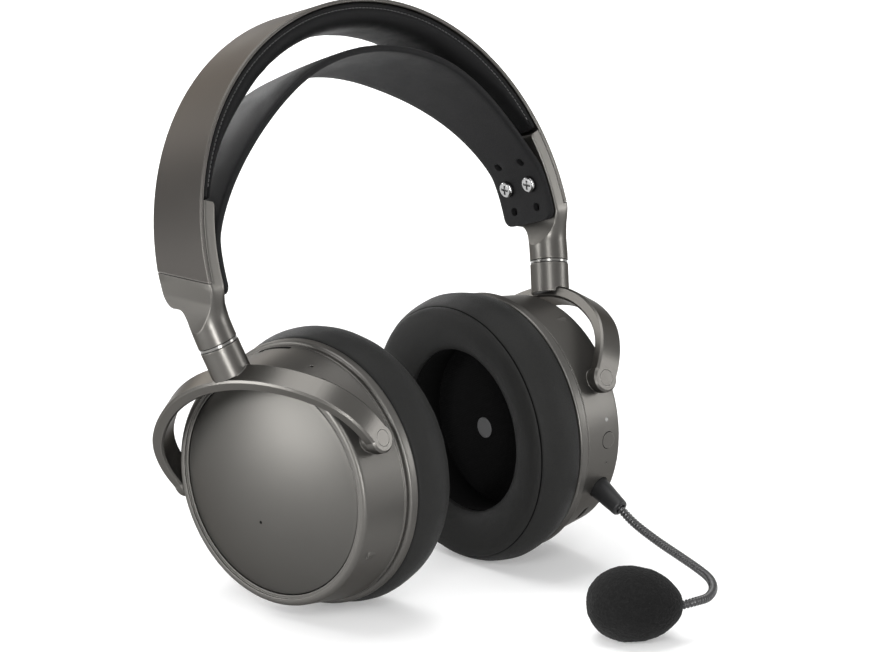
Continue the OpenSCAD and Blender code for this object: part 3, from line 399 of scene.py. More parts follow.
rough = spread(hide, given["Gloss"], centred(hide, soft), 0.22)
relief = bump(hide, soft, given["Crease"])
feed(
    hide, out, Color=shaded(hide, given["Color"], shade),
    Roughness=maths(hide, "SUBTRACT", rough, maths(hide, "MULTIPLY", pebble, 0.06)),
    Normal=bump(hide, spread(hide, pebble, fine, 0.25), given["Depth"], relief),
)


def leather(name, colour, sheen=0.02, **values):
    material, tree, shader = coated(name, hide, colour, values)
    feed(tree, shader, Sheen_Weight=sheen, Sheen_Roughness=0.5, Specular_IOR_Level=0.05)
    return material


def ease(t):
    t = min(1.0, max(0.0, t))
    return t * t * (3 - 2 * t)


def smooth(piece, levels=0):
    for polygon in piece.data.polygons:
        polygon.use_smooth = True
    if levels:
        rounding = piece.modifiers.new("rounding", "SUBSURF")
        rounding.levels = rounding.render_levels = levels
    return piece


def liner_section(thick):
    """Half the profile from the steel to the middle of the padding, as (depth, across)."""
    w = LINER_HALF
    points = [
        (0.0001, w - 0.0012), (0.0002, w - 0.0005), (0.0005, w - 0.0001), (0.0011, w),
        (WELT - 0.0005, w), (WELT - 0.0002, w - 0.0003), (WELT, w - 0.0011),
        (WELT + 0.0002, w - 0.0003), (WELT + 0.0006, w + 0.0001),
    ]
    for i in range(1, 17):
        t = math.radians(90 * i / 16)
        y = (w + 0.0002) * (math.cos(t) ** 0.5 if i < 16 else 0)
        points.append((WELT + 0.0006 + (thick - WELT - 0.0006) * math.sin(t) ** 0.85, y))
    return points


rings = []
steel_side = [(0.0001, y * LINER_HALF) for y in (-0.6, -0.2, 0.2, 0.6)]
for i in range(LINER_STEPS + 1):
    a = LINER_END + (180 - 2 * LINER_END) * i / LINER_STEPS
    near = min(1.0, min(i, LINER_STEPS - i) / LINER_CLOSING)
    closing = LINER_CLOSED + (1 - LINER_CLOSED) * math.sqrt(near)
    rise = ease((min(a, 180 - a) - LINER_END) / LINER_RISE)
    half = liner_section((LINER_END_T + (LINER_T - LINER_END_T) * rise) * closing)
    ring = []
    for depth, y in half + [(d, -y) for d, y in reversed(half[:-1])] + steel_side:
        wave = WAVE * noise.noise(Vector((i * 0.35, y * 160, 3.1))) if depth > WAVE_FROM else 0
        ring.append(around_band(BAND_IN - LINER_GAP - depth - wave, y, math.radians(a)))
    rings.append(ring)
liner_leather = leather("liner_leather", (0.0055, 0.0055, 0.0057, 1), Scale=1900, Gloss=0.52)
liner = smooth(sweep_mesh("liner_cushion", rings), 1)
put_on(liner, "headband", "band_liner", liner_leather, "headband_pad")


def stitches(name, points, up):
    """Loops of thread along a line of points, both ends sunk into the leather; up points out."""
    verts, faces = [], []
    n = THREAD_SIDES
    for a, b in zip(points, points[1:]):
        mid, along = (a + b) / 2, (b - a).normalized()
        side = along.cross(up)
        base = len(verts)
        for i in range(THREAD_RINGS):
            t = -1 + i / 2
            rise = THREAD_RISE * math.cos(t * math.pi / 2) - THREAD_SINK
            for j in range(n):
                c = 2 * math.pi * j / n
                lift = up * (rise + math.sin(c) * THREAD_D / 2)
                aside = side * (math.cos(c) * THREAD_D / 2)
                verts.append(mid + along * (t * STITCH_LEN / 2) + lift + aside)
        for i in range(THREAD_RINGS - 1):
            for j in range(n):
                p, q = base + i * n + j, base + i * n + (j + 1) % n
                faces.append((p, q, q + n, p + n))
        faces.append(tuple(base + j for j in range(n - 1, -1, -1)))
        faces.append(tuple(base + n * (THREAD_RINGS - 1) + j for j in range(n)))
    return smooth(add_mesh(name, verts, faces))


thread, tree, shader = new_material("black_thread")
twist = texture(tree, "Noise", object_space(tree), 6000, Detail=1).outputs["Fac"]
feed(
    tree, shader, Base_Color=(0.045, 0.045, 0.045, 1), Roughness=spread(tree, 0.45, twist, 0.3),
    Normal=bump(tree, twist, 0.00004),
)
for side, name in ((1, "liner_stitches_rear"), (-1, "liner_stitches_front")):
    seam = []
    for i in range(STITCHES + 1):
        first = LINER_END + STITCH_END
        a = math.radians(first + (180 - 2 * first) * i / STITCHES)
        seam.append(around_band(BAND_IN - LINER_GAP - WELT, side * (LINER_HALF - STITCH_IN), a))
    row = stitches(name, seam, (at_stand().to_3x3() @ Vector((0, side, 0))).normalized())
    put_on(row, "headband", "band_liner", thread)

# ---------------------------------------------------------------------------
# Suspension strap: two layers of leatherette bonded over a thin web, with
# rounded edges, and three rows of two punched holes at each end.
ARM_IN, TOUCH_GAP = 0.089, 0.00005
STRAP_T, STRAP_CORNER, STRAP_GROOVE = 0.0028, 0.004, 0.00022
STRAP_SEAT, STRAP_CROWN = ARM_IN - TOUCH_GAP - STRAP_T / 2, 0.0731
STRAP_LEAVE, STRAP_END = 10, -4.2  # degrees above the horizontal
STRAP_NARROW, STRAP_WIDE, WIDEN_FROM, WIDEN_OVER = 0.029, 0.0435, 12, 48  # degrees
STRAP_SWELL, STRAP_SLOPE = 0.0006, 0.07
EVEN_FROM, SWELL_OVER, SLOPE_OVER = 70, 60, 50  # degrees from the top
SCREW_ROW, HOLE_ROW, HOLE_PITCH, HOLE_R = 6.2, 0.010, 0.0135, 0.00175
PUNCH_IN, PUNCH_OUT = 0.078, 0.094


def circle(count):
    return [2 * math.pi * k / count for k in range(count)]


def strap_radius(angle):
    up = 180 - angle if angle > 90 else angle
    d = up - STRAP_LEAVE
    u = min(1.0, (d + math.sqrt(d * d + 2)) / 2 / (90 - STRAP_LEAVE))
    return STRAP_SEAT - (STRAP_SEAT - STRAP_CROWN) * (1 - (1 - u) ** 2.5)


def strap_half(angle):
    up = 180 - angle if angle > 90 else angle
    s = (up - STRAP_END) * STRAP_SEAT * math.pi / 180
    k = STRAP_CORNER - min(STRAP_CORNER, s)
    full = (STRAP_NARROW + (STRAP_WIDE - STRAP_NARROW) * ease((up - WIDEN_FROM) / WIDEN_OVER)) / 2
    return full - STRAP_CORNER + math.sqrt(max(0, STRAP_CORNER ** 2 - k * k))


def strap_ring(angle):
    half, r0 = strap_half(angle), strap_radius(angle)
    t, off_top = STRAP_T / 2, abs(90 - angle)
    edge = []
    for i in range(7):
        c = math.radians(-90 + 30 * i)
        groove = STRAP_GROOVE if i == 3 else 0
        edge.append((t * math.sin(c), half - t * 0.9 + (t * 0.9 - groove) * math.cos(c)))
    flat = [f * half for f in (0.82, 0.6, 0.36, 0.12, -0.12, -0.36, -0.6, -0.82)]
    outline = edge + [(t, y) for y in flat]
    outline += [(-d, -y) for d, y in edge] + [(-t, -y) for y in flat]
    ring = []
    for d, y in outline:
        swell = STRAP_SWELL * ease((EVEN_FROM - off_top) / SWELL_OVER) * (1 - (y / half) ** 2)
        r = r0 + d + swell - STRAP_SLOPE * y * ease((EVEN_FROM - off_top) / SLOPE_OVER)
        ring.append(around_band(r, y, math.radians(angle)))
    return ring


marks = [0, 0.12, 0.3, 0.6, 1.0, 1.5, 2.1, 2.9] + [4 + 1.3 * i for i in range(66)]
angles = [STRAP_END + m for m in marks if STRAP_END + m < 89.5]
angles = angles + [90] + [180 - a for a in reversed(angles)]
strap = sweep_mesh("strap", [strap_ring(a) for a in angles])
punches = []
for end in (0, 1):
    for row in (-1, 0, 1):
        for aside in (-1, 1):
            a = SCREW_ROW + math.degrees(row * HOLE_ROW / STRAP_SEAT)
            a = 180 - a if end else a
            turn = at_stand() @ Matrix.Rotation(math.radians(-a), 4, "Y")
            y = aside * HOLE_PITCH / 2
            rings = []
            for x in (PUNCH_IN, PUNCH_OUT):
                ring = [(x, y + HOLE_R * math.cos(c), HOLE_R * math.sin(c)) for c in circle(32)]
                rings.append([turn @ Vector(p) for p in ring])
            punches.append(sweep_mesh("punch", rings))
bpy.ops.object.select_all(action="DESELECT")
for punch in punches:
    punch.select_set(True)
punch = punches[0]
bpy.context.view_layer.objects.active = punch
bpy.ops.object.join()
cut = strap.modifiers.new("holes", "BOOLEAN")
cut.object = punch
cut.operation = "DIFFERENCE"
cut.solver = "EXACT"
bpy.context.view_layer.objects.active = strap
strap.select_set(True)
bpy.ops.object.modifier_apply(modifier="holes")
bpy.data.objects.remove(punch)
bpy.ops.object.select_all(action="DESELECT")
smooth(strap)
crease = strap.modifiers.new("hole_edges", "BEVEL")
crease.width = 0.0003
crease.segments = 3
crease.limit_method = "ANGLE"
crease.angle_limit = math.radians(50)
strap_leather = leather(
    "strap_leather", (0.0085, 0.0085, 0.0088, 1), Scale=1500, Gloss=0.58, Depth=0.000025,
)
put_on(strap, "headband", "strap", strap_leather, "suspension_strap")


def finish_node(name, material):
    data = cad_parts[name].data
    data.materials.clear()
    data.materials.append(material)


chrome, tree, shader = new_material("chromed_screw")
turned = texture(tree, "Noise", object_space(tree), 900, Detail=2).outputs["Fac"]
feed(
    tree, shader, Metallic=1, Base_Color=(0.30, 0.30, 0.30, 1),
    Roughness=spread(tree, 0.08, turned, 0.14),
    Normal=bump(tree, turned, 0.000008, rounded_normal(tree, 0.00015)),
)
for name in ("strap_screws", "baffle_screws_left", "baffle_screws_right"):
    finish_node(name, chrome)

# ---------------------------------------------------------------------------
# Arms: zinc castings with the end plate that closes the band's end, the stem
# below it, and the swivel's washer, shaft and rubber grommet.
SIDES = ((1, "left"), (-1, "right"))
STEM_R, STEM_Y, STEM_HALF = 0.0923, -0.0035, 0.0078
ARM_TOP, ARM_FOOT = 18.7, -14.5  # degrees above the horizontal
ARM_EDGE, ARM_EDGE_STEPS, ARM_TOP_ROUND = 0.0007, 16, 0.0025
TONGUE_TOP, TONGUE_END = -0.0080, -0.0174
PLATE_LOW, PLATE_CORNER, PLATE_FILLET = -0.0120, 0.0045, 0.003
SLIM_FROM, SLIM_TO = -0.0010, -0.0165
ROUND_FROM, ROUND_TO = -0.0005, -0.0105
LEAN_TOP, LEAN_TOP_OVER, LEAN_FOOT, LEAN_FOOT_OVER = 0.022, 0.012, -0.0205, 0.0105
SPIGOT, SPIGOT_LEN = 0.83, 0.0004


def grown(z, start, end):
    return ease((start - z) / (start - end))


def blend(a, b, t):
    return a + (b - a) * t


def arm_section(out_r, in_r, front, rear, roundness):
    """Section as (radius, y): two flats joined by edges that go from square to the stem's round."""
    outer = math.acos(min(0.99999, (out_r - STEM_R) / STEM_HALF))
    inner = math.acos(max(-0.99999, (in_r - STEM_R) / STEM_HALF))
    c, count = ARM_EDGE, ARM_EDGE_STEPS
    edges = []
    for edge, sign in ((rear, 1), (front, -1)):
        made = []
        for k in range(count + 1):
            if k <= 4:
                t = math.radians(22.5 * k)
                square = (out_r - c + c * math.cos(t), edge - sign * (c - c * math.sin(t)))
            elif k >= count - 4:
                t = math.radians(22.5 * (count - k))
                square = (in_r + c - c * math.cos(t), edge - sign * (c - c * math.sin(t)))
            else:
                square = (blend(out_r - c, in_r + c, (k - 4) / (count - 8)), edge)
            t = blend(outer, inner, k / count)
            y = edge - sign * (STEM_HALF - STEM_HALF * math.sin(t))
            arc = (STEM_R + STEM_HALF * math.cos(t), y)
            made.append((blend(square[0], arc[0], roundness), blend(square[1], arc[1], roundness)))
        edges.append(made)
    rear_edge, front_edge = edges[0], edges[1][::-1]
    outline = []
    for start, stop in ((rear_edge, front_edge), (front_edge, rear_edge)):
        (r0, y0), (r1, y1) = start[-1], stop[0]
        outline += start
        outline += [(blend(r0, r1, f), blend(y0, y1, f)) for f in (0.17, 0.33, 0.5, 0.67, 0.83)]
    return outline


def quarter(radius, into):
    """Height of a rounded corner above its flat, this far into the corner."""
    return math.sqrt(max(0, radius ** 2 - into ** 2))


def arm_ring(z, plate):
    """Section of the arm at a height; plate is 1 below the band's end, 0 behind the band."""
    top = BAND_OUT * math.sin(math.radians(ARM_TOP)) - z
    out_r = BAND_OUT if plate else BAND_IN - TOUCH_GAP
    in_r = ARM_IN
    if top < ARM_TOP_ROUND:
        in_r += ARM_TOP_ROUND - quarter(ARM_TOP_ROUND, ARM_TOP_ROUND - top)
    scoop = min(1.0, max(0.0, (TONGUE_TOP - z) / (TONGUE_TOP - TONGUE_END))) ** 1.6
    out_r = blend(out_r, STEM_R + STEM_HALF, scoop)
    in_r = blend(in_r, STEM_R - STEM_HALF, scoop)
    front = blend(-BAND_HALF, STEM_Y - STEM_HALF, grown(z, SLIM_FROM, SLIM_TO))
    stem_rear = STEM_Y + STEM_HALF
    if z >= PLATE_LOW + PLATE_CORNER:
        rear = BAND_HALF
    elif z > PLATE_LOW:
        rear = BAND_HALF - PLATE_CORNER + quarter(PLATE_CORNER, PLATE_LOW + PLATE_CORNER - z)
    else:
        fall = min(PLATE_FILLET, PLATE_LOW - z)
        rear = stem_rear + PLATE_FILLET - quarter(PLATE_FILLET, PLATE_FILLET - fall)
    lean = SEAM_SLOPE * ease((LEAN_TOP - z) / LEAN_TOP_OVER)
    lean *= ease((z - LEAN_FOOT) / LEAN_FOOT_OVER)
    ring = []
    for r, y in arm_section(out_r, in_r, front, rear, grown(z, ROUND_FROM, ROUND_TO)):
        ring.append((r, y, z / STEM_R + (lean * y + SEAM_Z * (lean / SEAM_SLOPE)) / BAND_OUT))
    return ring


def arm_heights():
    """Heights of the arm's sections, from its top behind the band to the swivel, with plate."""
    top = STEM_R * math.radians(ARM_TOP)
    corner = (0.94, 0.8, 0.66, 0.52, 0.4, 0.3, 0.2, 0.12, 0.06, 0.02, 0.0001)
    fillet = (0.0001, 0.02, 0.06, 0.14, 0.25, 0.38, 0.52, 0.68, 0.84, 1.0)
    behind = [top - d for d in (0, 0.00015, 0.0004, 0.0008, 0.0013, 0.0019, 0.0026)]
    behind += [0.026 - 0.0015 * k for k in range(18)] + [-0.0002]
    below = [-0.00021] + [-0.001 - 0.0007 * k for k in range(10)]
    below += [PLATE_LOW + PLATE_CORNER * f for f in corner]
    below += [PLATE_LOW - PLATE_FILLET * f for f in fillet]
    below += [-0.01525 - 0.0003 * k for k in range(7)]
    below += [-0.0172, -0.0173, -0.01742, -0.0178, -0.0184, -0.0192, -0.0200, -0.0212]
    return [(z, 0) for z in behind] + [(z, 1) for z in below + [STEM_R * math.radians(ARM_FOOT)]]


casting = lacquered("casting_lacquer", GUNMETAL, Fleck=0.12, Gloss=0.33, Wear=0.25, Radius=0.0005)
for side, name in SIDES:
    place = at_stand() @ Matrix.Scale(side, 4, (1, 0, 0))
    rings = []
    for z, plate in arm_heights():
        ring = [
            place @ Vector((r * math.cos(t), y, r * math.sin(t))) for r, y, t in arm_ring(z, plate)
        ]
        rings.append(ring if side > 0 else ring[::-1])
    foot = rings[-1]
    middle = sum(foot, Vector()) / len(foot)
    down = (foot[0] - rings[-2][0]).normalized()
    spigot = [middle + (p - middle) * SPIGOT for p in foot]
    rings += [spigot, [p + down * SPIGOT_LEN for p in spigot]]
    arm = keep_edges(sweep_mesh("arm_casting_" + name, rings), 17)
    put_on(arm, "headband", "cast_metal", casting, "arm_" + name)

ring_steel, tree, shader = new_material("turned_steel")
turned = texture(tree, "Noise", object_space(tree), 1500, Detail=2).outputs["Fac"]
feed(
    tree, shader, Metallic=1, Base_Color=(0.15, 0.147, 0.14, 1),
    Roughness=spread(tree, 0.14, turned, 0.16), Normal=bump(tree, turned, 0.000008),
)
for name in ("swivel_washers", "swivel_shaft_left", "swivel_shaft_right", "wheel_axles"):
    finish_node(name, ring_steel)


def moulded(name, colour, gloss=0.45, scale=2400, depth=0.00002, **sockets):
    """Moulded plastic or rubber with a spark-eroded grain."""
    material, tree, shader = new_material(name)
    spot = object_space(tree)
    grain = texture(tree, "Noise", spot, scale, Detail=3).outputs["Fac"]
    tone = texture(tree, "Noise", spot, 60, Detail=2).outputs["Fac"]
    paler = tuple(c * 1.35 for c in colour[:3]) + (1,)
    feed(
        tree, shader, Base_Color=mix_colour(tree, tone, colour, paler),
        Roughness=spread(tree, gloss - 0.08, grain, 0.16),
        Normal=bump(tree, grain, depth, rounded_normal(tree, 0.0003)), **sockets,
    )
    return material


rubber = moulded("black_rubber", (0.012, 0.012, 0.012, 1), gloss=0.55, scale=3000, depth=0.00003)
for name in ("swivel_grommet_left", "swivel_grommet_right"):
    finish_node(name, rubber)

# ---------------------------------------------------------------------------
# Yokes: cast arches with chamfered edges, lacquered like the arms, and the
# pins with their turned heads.
yoke_lacquer = lacquered("yoke_lacquer", GUNMETAL, Fleck=0.12, Gloss=0.34, Wear=0.35, Radius=0.0004)
for name in ("yoke_left", "yoke_right", "pivot_pins_left", "pivot_pins_right"):
    finish_node(name, yoke_lacquer)

# ---------------------------------------------------------------------------
# Cups: lacquered bowls and pad rings, with dome caps a shade darker and
# silkier. Black marks are painted shade: they stand for the shade in the pin
# hole in the right dome, in the mouths of the vents by the pad rings and in
# the gap round the power button.
SHELL_GREY = (0.080, 0.077, 0.072, 1)
SPLAY, TOE, TILT = math.radians(14.5), {1: 3.5, -1: 6.5}, {1: 0, -1: 3}
TO_PINS, TO_CUP = (-0.012, 0.008, -0.055), (-0.008, 0, -0.008)
DOME_R, DOME_SEAT, DOME_RIM, DOME_CROWN = 0.0433, 0.01365, 0.0162, 0.008
DOME_BALL = (DOME_R ** 2 + DOME_CROWN ** 2) / (2 * DOME_CROWN)
DOME_ROUND, DOME_STEPS, DOME_SIDES = 0.0006, 40, 144
PIN_HOLE_Y, PIN_HOLE_Z, PIN_HOLE_R = 0.0041, -0.0121, 0.0006
PIN_HOLE_SUNK, PIN_HOLE_PROUD = -0.0002, 0.00008
WALL_R, WALL_X, WALL_FALL = 0.0509, -0.004, 3.0 / 19.4
VENT_FROM, VENT_TURN, VENT_STEPS = -4, 19, 24  # degrees, degrees, steps
VENT_BACK, VENT_FRONT, VENT_ROUND = -0.0021, -0.0004, 0.0003
VENT_SUNK, VENT_PROUD = -0.0003, 0.00004
BUTTON_X, BUTTON_ANGLE, BUTTON_WALL_R = 0.0095, math.radians(110), 0.0488
GAP_R, GAP_HALF, GAP_PROUD, GAP_LIFT = 0.00338, 0.00016, 0.00008, 0.00002


def cup_matrix(side):
    """From the cup's own frame, with x outward along its axis, to where it rests."""
    foot = Vector((STEM_R * math.cos(SPLAY), STEM_Y, -STEM_R * math.sin(SPLAY)))
    return (
        at_stand()
        @ Matrix.Scale(side, 4, (1, 0, 0))
        @ Matrix.Translation(foot)
        @ Matrix.Rotation(SPLAY, 4, "Y")
        @ Matrix.Rotation(math.radians(-TOE[side]), 4, "Z")
        @ Matrix.Translation(TO_PINS)
        @ Matrix.Rotation(math.radians(TILT[side]) - SPLAY, 4, "Y")
        @ Matrix.Translation(TO_CUP)
    )


def around_cup(place, x, r, angle):
    return place @ Vector((x, -r * math.sin(angle), r * math.cos(angle)))


def on_wall(place, x, angle, lift):
    return around_cup(place, x, WALL_R - WALL_FALL * (x - WALL_X) + lift, angle)


def disc_ring(place, x, y, z, r, count):
    """Ring across the cup's axis round a centre beside it."""
    return [place @ Vector((x, y + r * math.cos(c), z + r * math.sin(c))) for c in circle(count)]


def dome_x(r):
    return DOME_RIM + DOME_CROWN - DOME_BALL + math.sqrt(DOME_BALL * DOME_BALL - r * r)


shell = lacquered("shell_lacquer", SHELL_GREY, metallic=0.8, Fleck=0.12, Gloss=0.38, Wear=0.25)
cap = lacquered("cap_lacquer", (0.064, 0.062, 0.058, 1), Fleck=0.10, Gloss=0.43, Wear=0.2)
trim = lacquered(
    "ring_lacquer", (0.084, 0.081, 0.076, 1), metallic=0.8, Fleck=0.12, Gloss=0.38, Wear=0.35,
)
dark_plastic = moulded("dark_plastic", (0.012, 0.012, 0.0125, 1))
# Painted shade: a matt black that stands for the shade in holes, gaps and grooves.
painted_shade_black = moulded("painted_shade_black", (0.0025, 0.0025, 0.0025, 1), gloss=0.9, Specular_IOR_Level=0.02)
for side in ("left", "right"):
    finish_node("cup_housing_" + side, shell)
    finish_node("baffle_ring_" + side, trim)
    finish_node("vent_screen_" + side, dark_plastic)

curve = []
for k in range(DOME_STEPS + 1):
    r = 0.0002 + (DOME_R - 0.0002 - DOME_ROUND) * k / DOME_STEPS
    curve.append((r, dome_x(r)))
r, x = DOME_R - DOME_ROUND, curve[-1][1] - DOME_ROUND
for t in (0.5, 0.9, 1.25, 1.57):
    curve.append((r + DOME_ROUND * math.sin(t), x + DOME_ROUND * math.cos(t)))
curve += [(DOME_R, DOME_SEAT), (DOME_R - 0.002, DOME_SEAT)]
for side, name in SIDES:
    place = cup_matrix(side)
    rings = [[around_cup(place, x, r, c) for c in circle(DOME_SIDES)] for r, x in curve]
    dome = keep_edges(sweep_mesh("dome_" + name, rings if side < 0 else rings[::-1]), 50)
    put_on(dome, "cup_" + name, "dome_metal", cap, "dome_cap_" + name)
# Painted shade: a black disc on the right dome stands for the shade in its pin hole.
place = cup_matrix(-1)
x = dome_x(math.hypot(PIN_HOLE_Y, PIN_HOLE_Z))
rings = [
    disc_ring(place, x + lift, PIN_HOLE_Y, PIN_HOLE_Z, PIN_HOLE_R, 24)
    for lift in (PIN_HOLE_SUNK, PIN_HOLE_PROUD)
]
put_on(sweep_mesh("dome_pin_hole_painted_shade", rings), "cup_right", "dome_metal", painted_shade_black)

# Painted shade: black strips on the walls stand for the shade in the vents' mouths.
for side, name in SIDES:
    place = cup_matrix(side)
    rings = []
    for k in range(VENT_STEPS + 1):
        angle = math.radians(VENT_FROM + VENT_TURN * k / VENT_STEPS)
        narrow = VENT_ROUND if k in (0, VENT_STEPS) else 0
        back, front = VENT_BACK + narrow, VENT_FRONT - narrow
        corners = ((back, VENT_SUNK), (back, VENT_PROUD), (front, VENT_PROUD), (front, VENT_SUNK))
        ring = [on_wall(place, x, angle, lift) for x, lift in corners]
        rings.append(ring if side > 0 else ring[::-1])
    put_on(sweep_mesh("vent_mouth_painted_shade_" + name, rings), "cup_" + name, "cup_shell", painted_shade_black)
# Painted shade: a black ring round the power button stands for the shade in its gap.
place = cup_matrix(1)
rings = []
for c in circle(72):
    ring = []
    for t in circle(6):
        r = GAP_R + GAP_HALF * math.cos(t)
        angle = BUTTON_ANGLE + r * math.sin(c) / BUTTON_WALL_R
        lift = GAP_LIFT + GAP_PROUD * math.sin(t)
        ring.append(on_wall(place, BUTTON_X + r * math.cos(c), angle, lift))
    rings.append(ring[::-1])
put_on(sweep_mesh("button_gap_painted_shade", rings, closed=True), "cup_left", "cup_shell", painted_shade_black)

# ---------------------------------------------------------------------------
# Ear pads: foam rings in leatherette, sewn from a side strip and a face that
# meet in a sunken seam; the face rolls over into the opening. The seam's
# groove is painted black as painted shade, and a near-black sleeve inside the
# opening is painted shade deep in it.
PAD_R, PAD_BACK_R, PAD_HOLE_R = 0.0552, 0.0522, 0.0335
PAD_BACK_X, PAD_T = -0.0085, 0.0217
PAD_FRONT_X = PAD_BACK_X - PAD_T
PAD_SEAM_R, PAD_SEAM_X = PAD_BACK_R - 0.0002, PAD_FRONT_X + 0.0023
OUTER_DROP, INNER_DROP = 0.0023, 0.0050
PAD_AROUND, LINING_AROUND = 168, 96
DENT, DIMPLE, CRIMP, CRIMPS = 0.00025, 0.00012, 0.00006, 84
SEAM_FACES = (17, 18)
TABLE_GAP = 0.0002


def pad_profile():
    """Outline of the pad's section as (radius, x), from the ring round to the ring."""
    points = []
    for i in range(17):
        t = i / 16
        bulge = (PAD_R - PAD_BACK_R) * math.sin(math.pi * t) ** 0.8
        x = PAD_BACK_X + (PAD_SEAM_X - PAD_BACK_X) * t
        points.append((PAD_BACK_R - 0.0002 * t + bulge, x))
    for inward, forward in ((0.0004, 0.00015), (0.0016, 0.0003), (0.0004, 0.00055)):
        points.append((PAD_SEAM_R - inward, PAD_SEAM_X - forward))
    crown_r = (PAD_SEAM_R + PAD_HOLE_R) / 2 + 0.003
    for i in range(1, 29):
        r = PAD_SEAM_R - 0.0003 + (PAD_HOLE_R - PAD_SEAM_R + 0.0003) * i / 28
        if r > crown_r:
            w, drop = (r - crown_r) / (PAD_SEAM_R - crown_r), OUTER_DROP
        else:
            w, drop = (crown_r - r) / (crown_r - PAD_HOLE_R), INNER_DROP
        fall = drop * (1 - math.sqrt(max(0, 1 - w * w * 0.9))) / (1 - math.sqrt(0.1))
        points.append((r, PAD_FRONT_X + fall - 0.0003))
    for outward, back in ((-0.0002, 0.0052), (0, 0.0065), (0.0004, 0.010), (0.0008, 0.014)):
        points.append((PAD_HOLE_R + outward, PAD_FRONT_X + back))
    return points + [(PAD_HOLE_R + 0.0014, PAD_BACK_X)]


def settle(piece):
    """Squashes what is below the table's top flat onto it."""
    for v in piece.data.vertices:
        if v.co.z < TABLE_GAP:
            v.co.z = TABLE_GAP


pad_leather = leather(
    "pad_leather", (0.0155, 0.0155, 0.0151, 1), sheen=0,
    Scale=1700, Gloss=0.56, Depth=0.00002, Crease=0.00008,
)
# Painted shade: a near-black matt cloth for the inside of the pad opening.
painted_shade_lining = moulded(
    "lining_painted_shade", (0.0025, 0.0025, 0.0025, 1), gloss=0.9, scale=4000, depth=0.00003,
    Specular_IOR_Level=0.05,
)
profile = pad_profile()
hem = [
    (PAD_HOLE_R - 0.0004, PAD_BACK_X - 0.0145), (PAD_HOLE_R - 0.0002, PAD_BACK_X - 0.0148),
    (PAD_HOLE_R + 0.0012, PAD_BACK_X - 0.0140), (PAD_HOLE_R + 0.0016, PAD_BACK_X),
    (PAD_HOLE_R + 0.0003, PAD_BACK_X),
]
for side, name in SIDES:
    place = cup_matrix(side)
    rings = []
    for c in circle(PAD_AROUND):
        ring = []
        for i, (r, x) in enumerate(profile):
            where = Vector((math.cos(c) * 3, math.sin(c) * 3, i * 0.11 + side * 7))
            push = DENT * noise.noise(where * 1.3) + DIMPLE * noise.noise(where * 4.2)
            crimp = CRIMP * math.sin(c * CRIMPS) * math.exp(-((i - SEAM_FACES[0]) / 2.2) ** 2)
            ring.append(around_cup(place, x - push * 0.6, r + push + crimp, c))
        rings.append(ring if side > 0 else ring[::-1])
    pad = sweep_mesh("ear_pad_cover_" + name, rings, closed=True)
    settle(pad)
    smooth(pad, 1)
    put_on(pad, "cup_" + name, "pad_leather", pad_leather, "ear_pad_" + name)
    # Painted shade: the seam's groove faces are black.
    pad.data.materials.append(painted_shade_black)
    for polygon in pad.data.polygons:
        polygon.material_index = 1 if polygon.index % len(profile) in SEAM_FACES else 0
    # Painted shade: a near-black sleeve inside the opening stands for the shade deep in it.
    rings = []
    for c in circle(LINING_AROUND):
        ring = [around_cup(place, x, r, c) for r, x in hem]
        rings.append(ring if side > 0 else ring[::-1])
    inside = smooth(sweep_mesh("ear_pad_painted_shade_lining_" + name, rings, closed=True))
    put_on(inside, "cup_" + name, "pad_leather", painted_shade_lining)

# ---------------------------------------------------------------------------
# Drivers: a plastic frame, the foil, the bar magnets and a thin woven cloth
# stretched over the front, with a small round disc glued to it.
CLOTH_R, CLOTH_X, CLOTH_T = 0.0437, -0.0079, 0.0004
CLOTH_RINGS, CLOTH_AROUND, PUFF, RIPPLE = 14, 72, 0.00015, 0.00005
DISC_R, DISC_Y, DISC_Z, DISC_CUT = 0.0043, 0.0067, -0.0016, 0.00015
cloth, tree, shader = new_material("driver_cloth")
spot = object_space(tree)
threads = []
for direction in ("Y", "Z"):
    wave = texture(tree, "Wave", spot, 420, Distortion=0.4)
    wave.bands_direction = direction
    threads.append(wave.outputs["Fac"])
weave = maths(tree, "MULTIPLY", *threads)
feed(
    tree, shader, Roughness=0.9, Specular_IOR_Level=0.05, Normal=bump(tree, weave, 0.00008),
    Base_Color=mix_colour(tree, weave, (0.002, 0.002, 0.002, 1), (0.007, 0.007, 0.0072, 1)),
)
for side, name in SIDES:
    place = cup_matrix(side)
    verts, faces = [place @ Vector((CLOTH_X - CLOTH_T, 0, 0))], []
    for i in range(1, CLOTH_RINGS + 1):
        r = CLOTH_R * i / CLOTH_RINGS
        for c in circle(CLOTH_AROUND):
            where = Vector((r * 90 * math.cos(c), r * 90 * math.sin(c), side))
            puff = PUFF * (1 - (i / CLOTH_RINGS) ** 2) + RIPPLE * noise.noise(where)
            verts.append(around_cup(place, CLOTH_X - puff, r, c))
    for k in range(CLOTH_AROUND):
        ahead = (k + 1) % CLOTH_AROUND
        faces.append((0, 1 + k, 1 + ahead))
        for i in range(CLOTH_RINGS - 1):
            a, b = 1 + i * CLOTH_AROUND + k, 1 + i * CLOTH_AROUND + ahead
            faces.append((a, a + CLOTH_AROUND, b + CLOTH_AROUND, b))
    sheet = smooth(add_mesh("speaker_cloth_" + name, verts, faces))
    thick = sheet.modifiers.new("cloth_thickness", "SOLIDIFY")
    thick.thickness = CLOTH_T
    thick.offset = 0
    put_on(sheet, "cup_" + name, "driver_cloth", cloth, "driver_cloth_" + name)

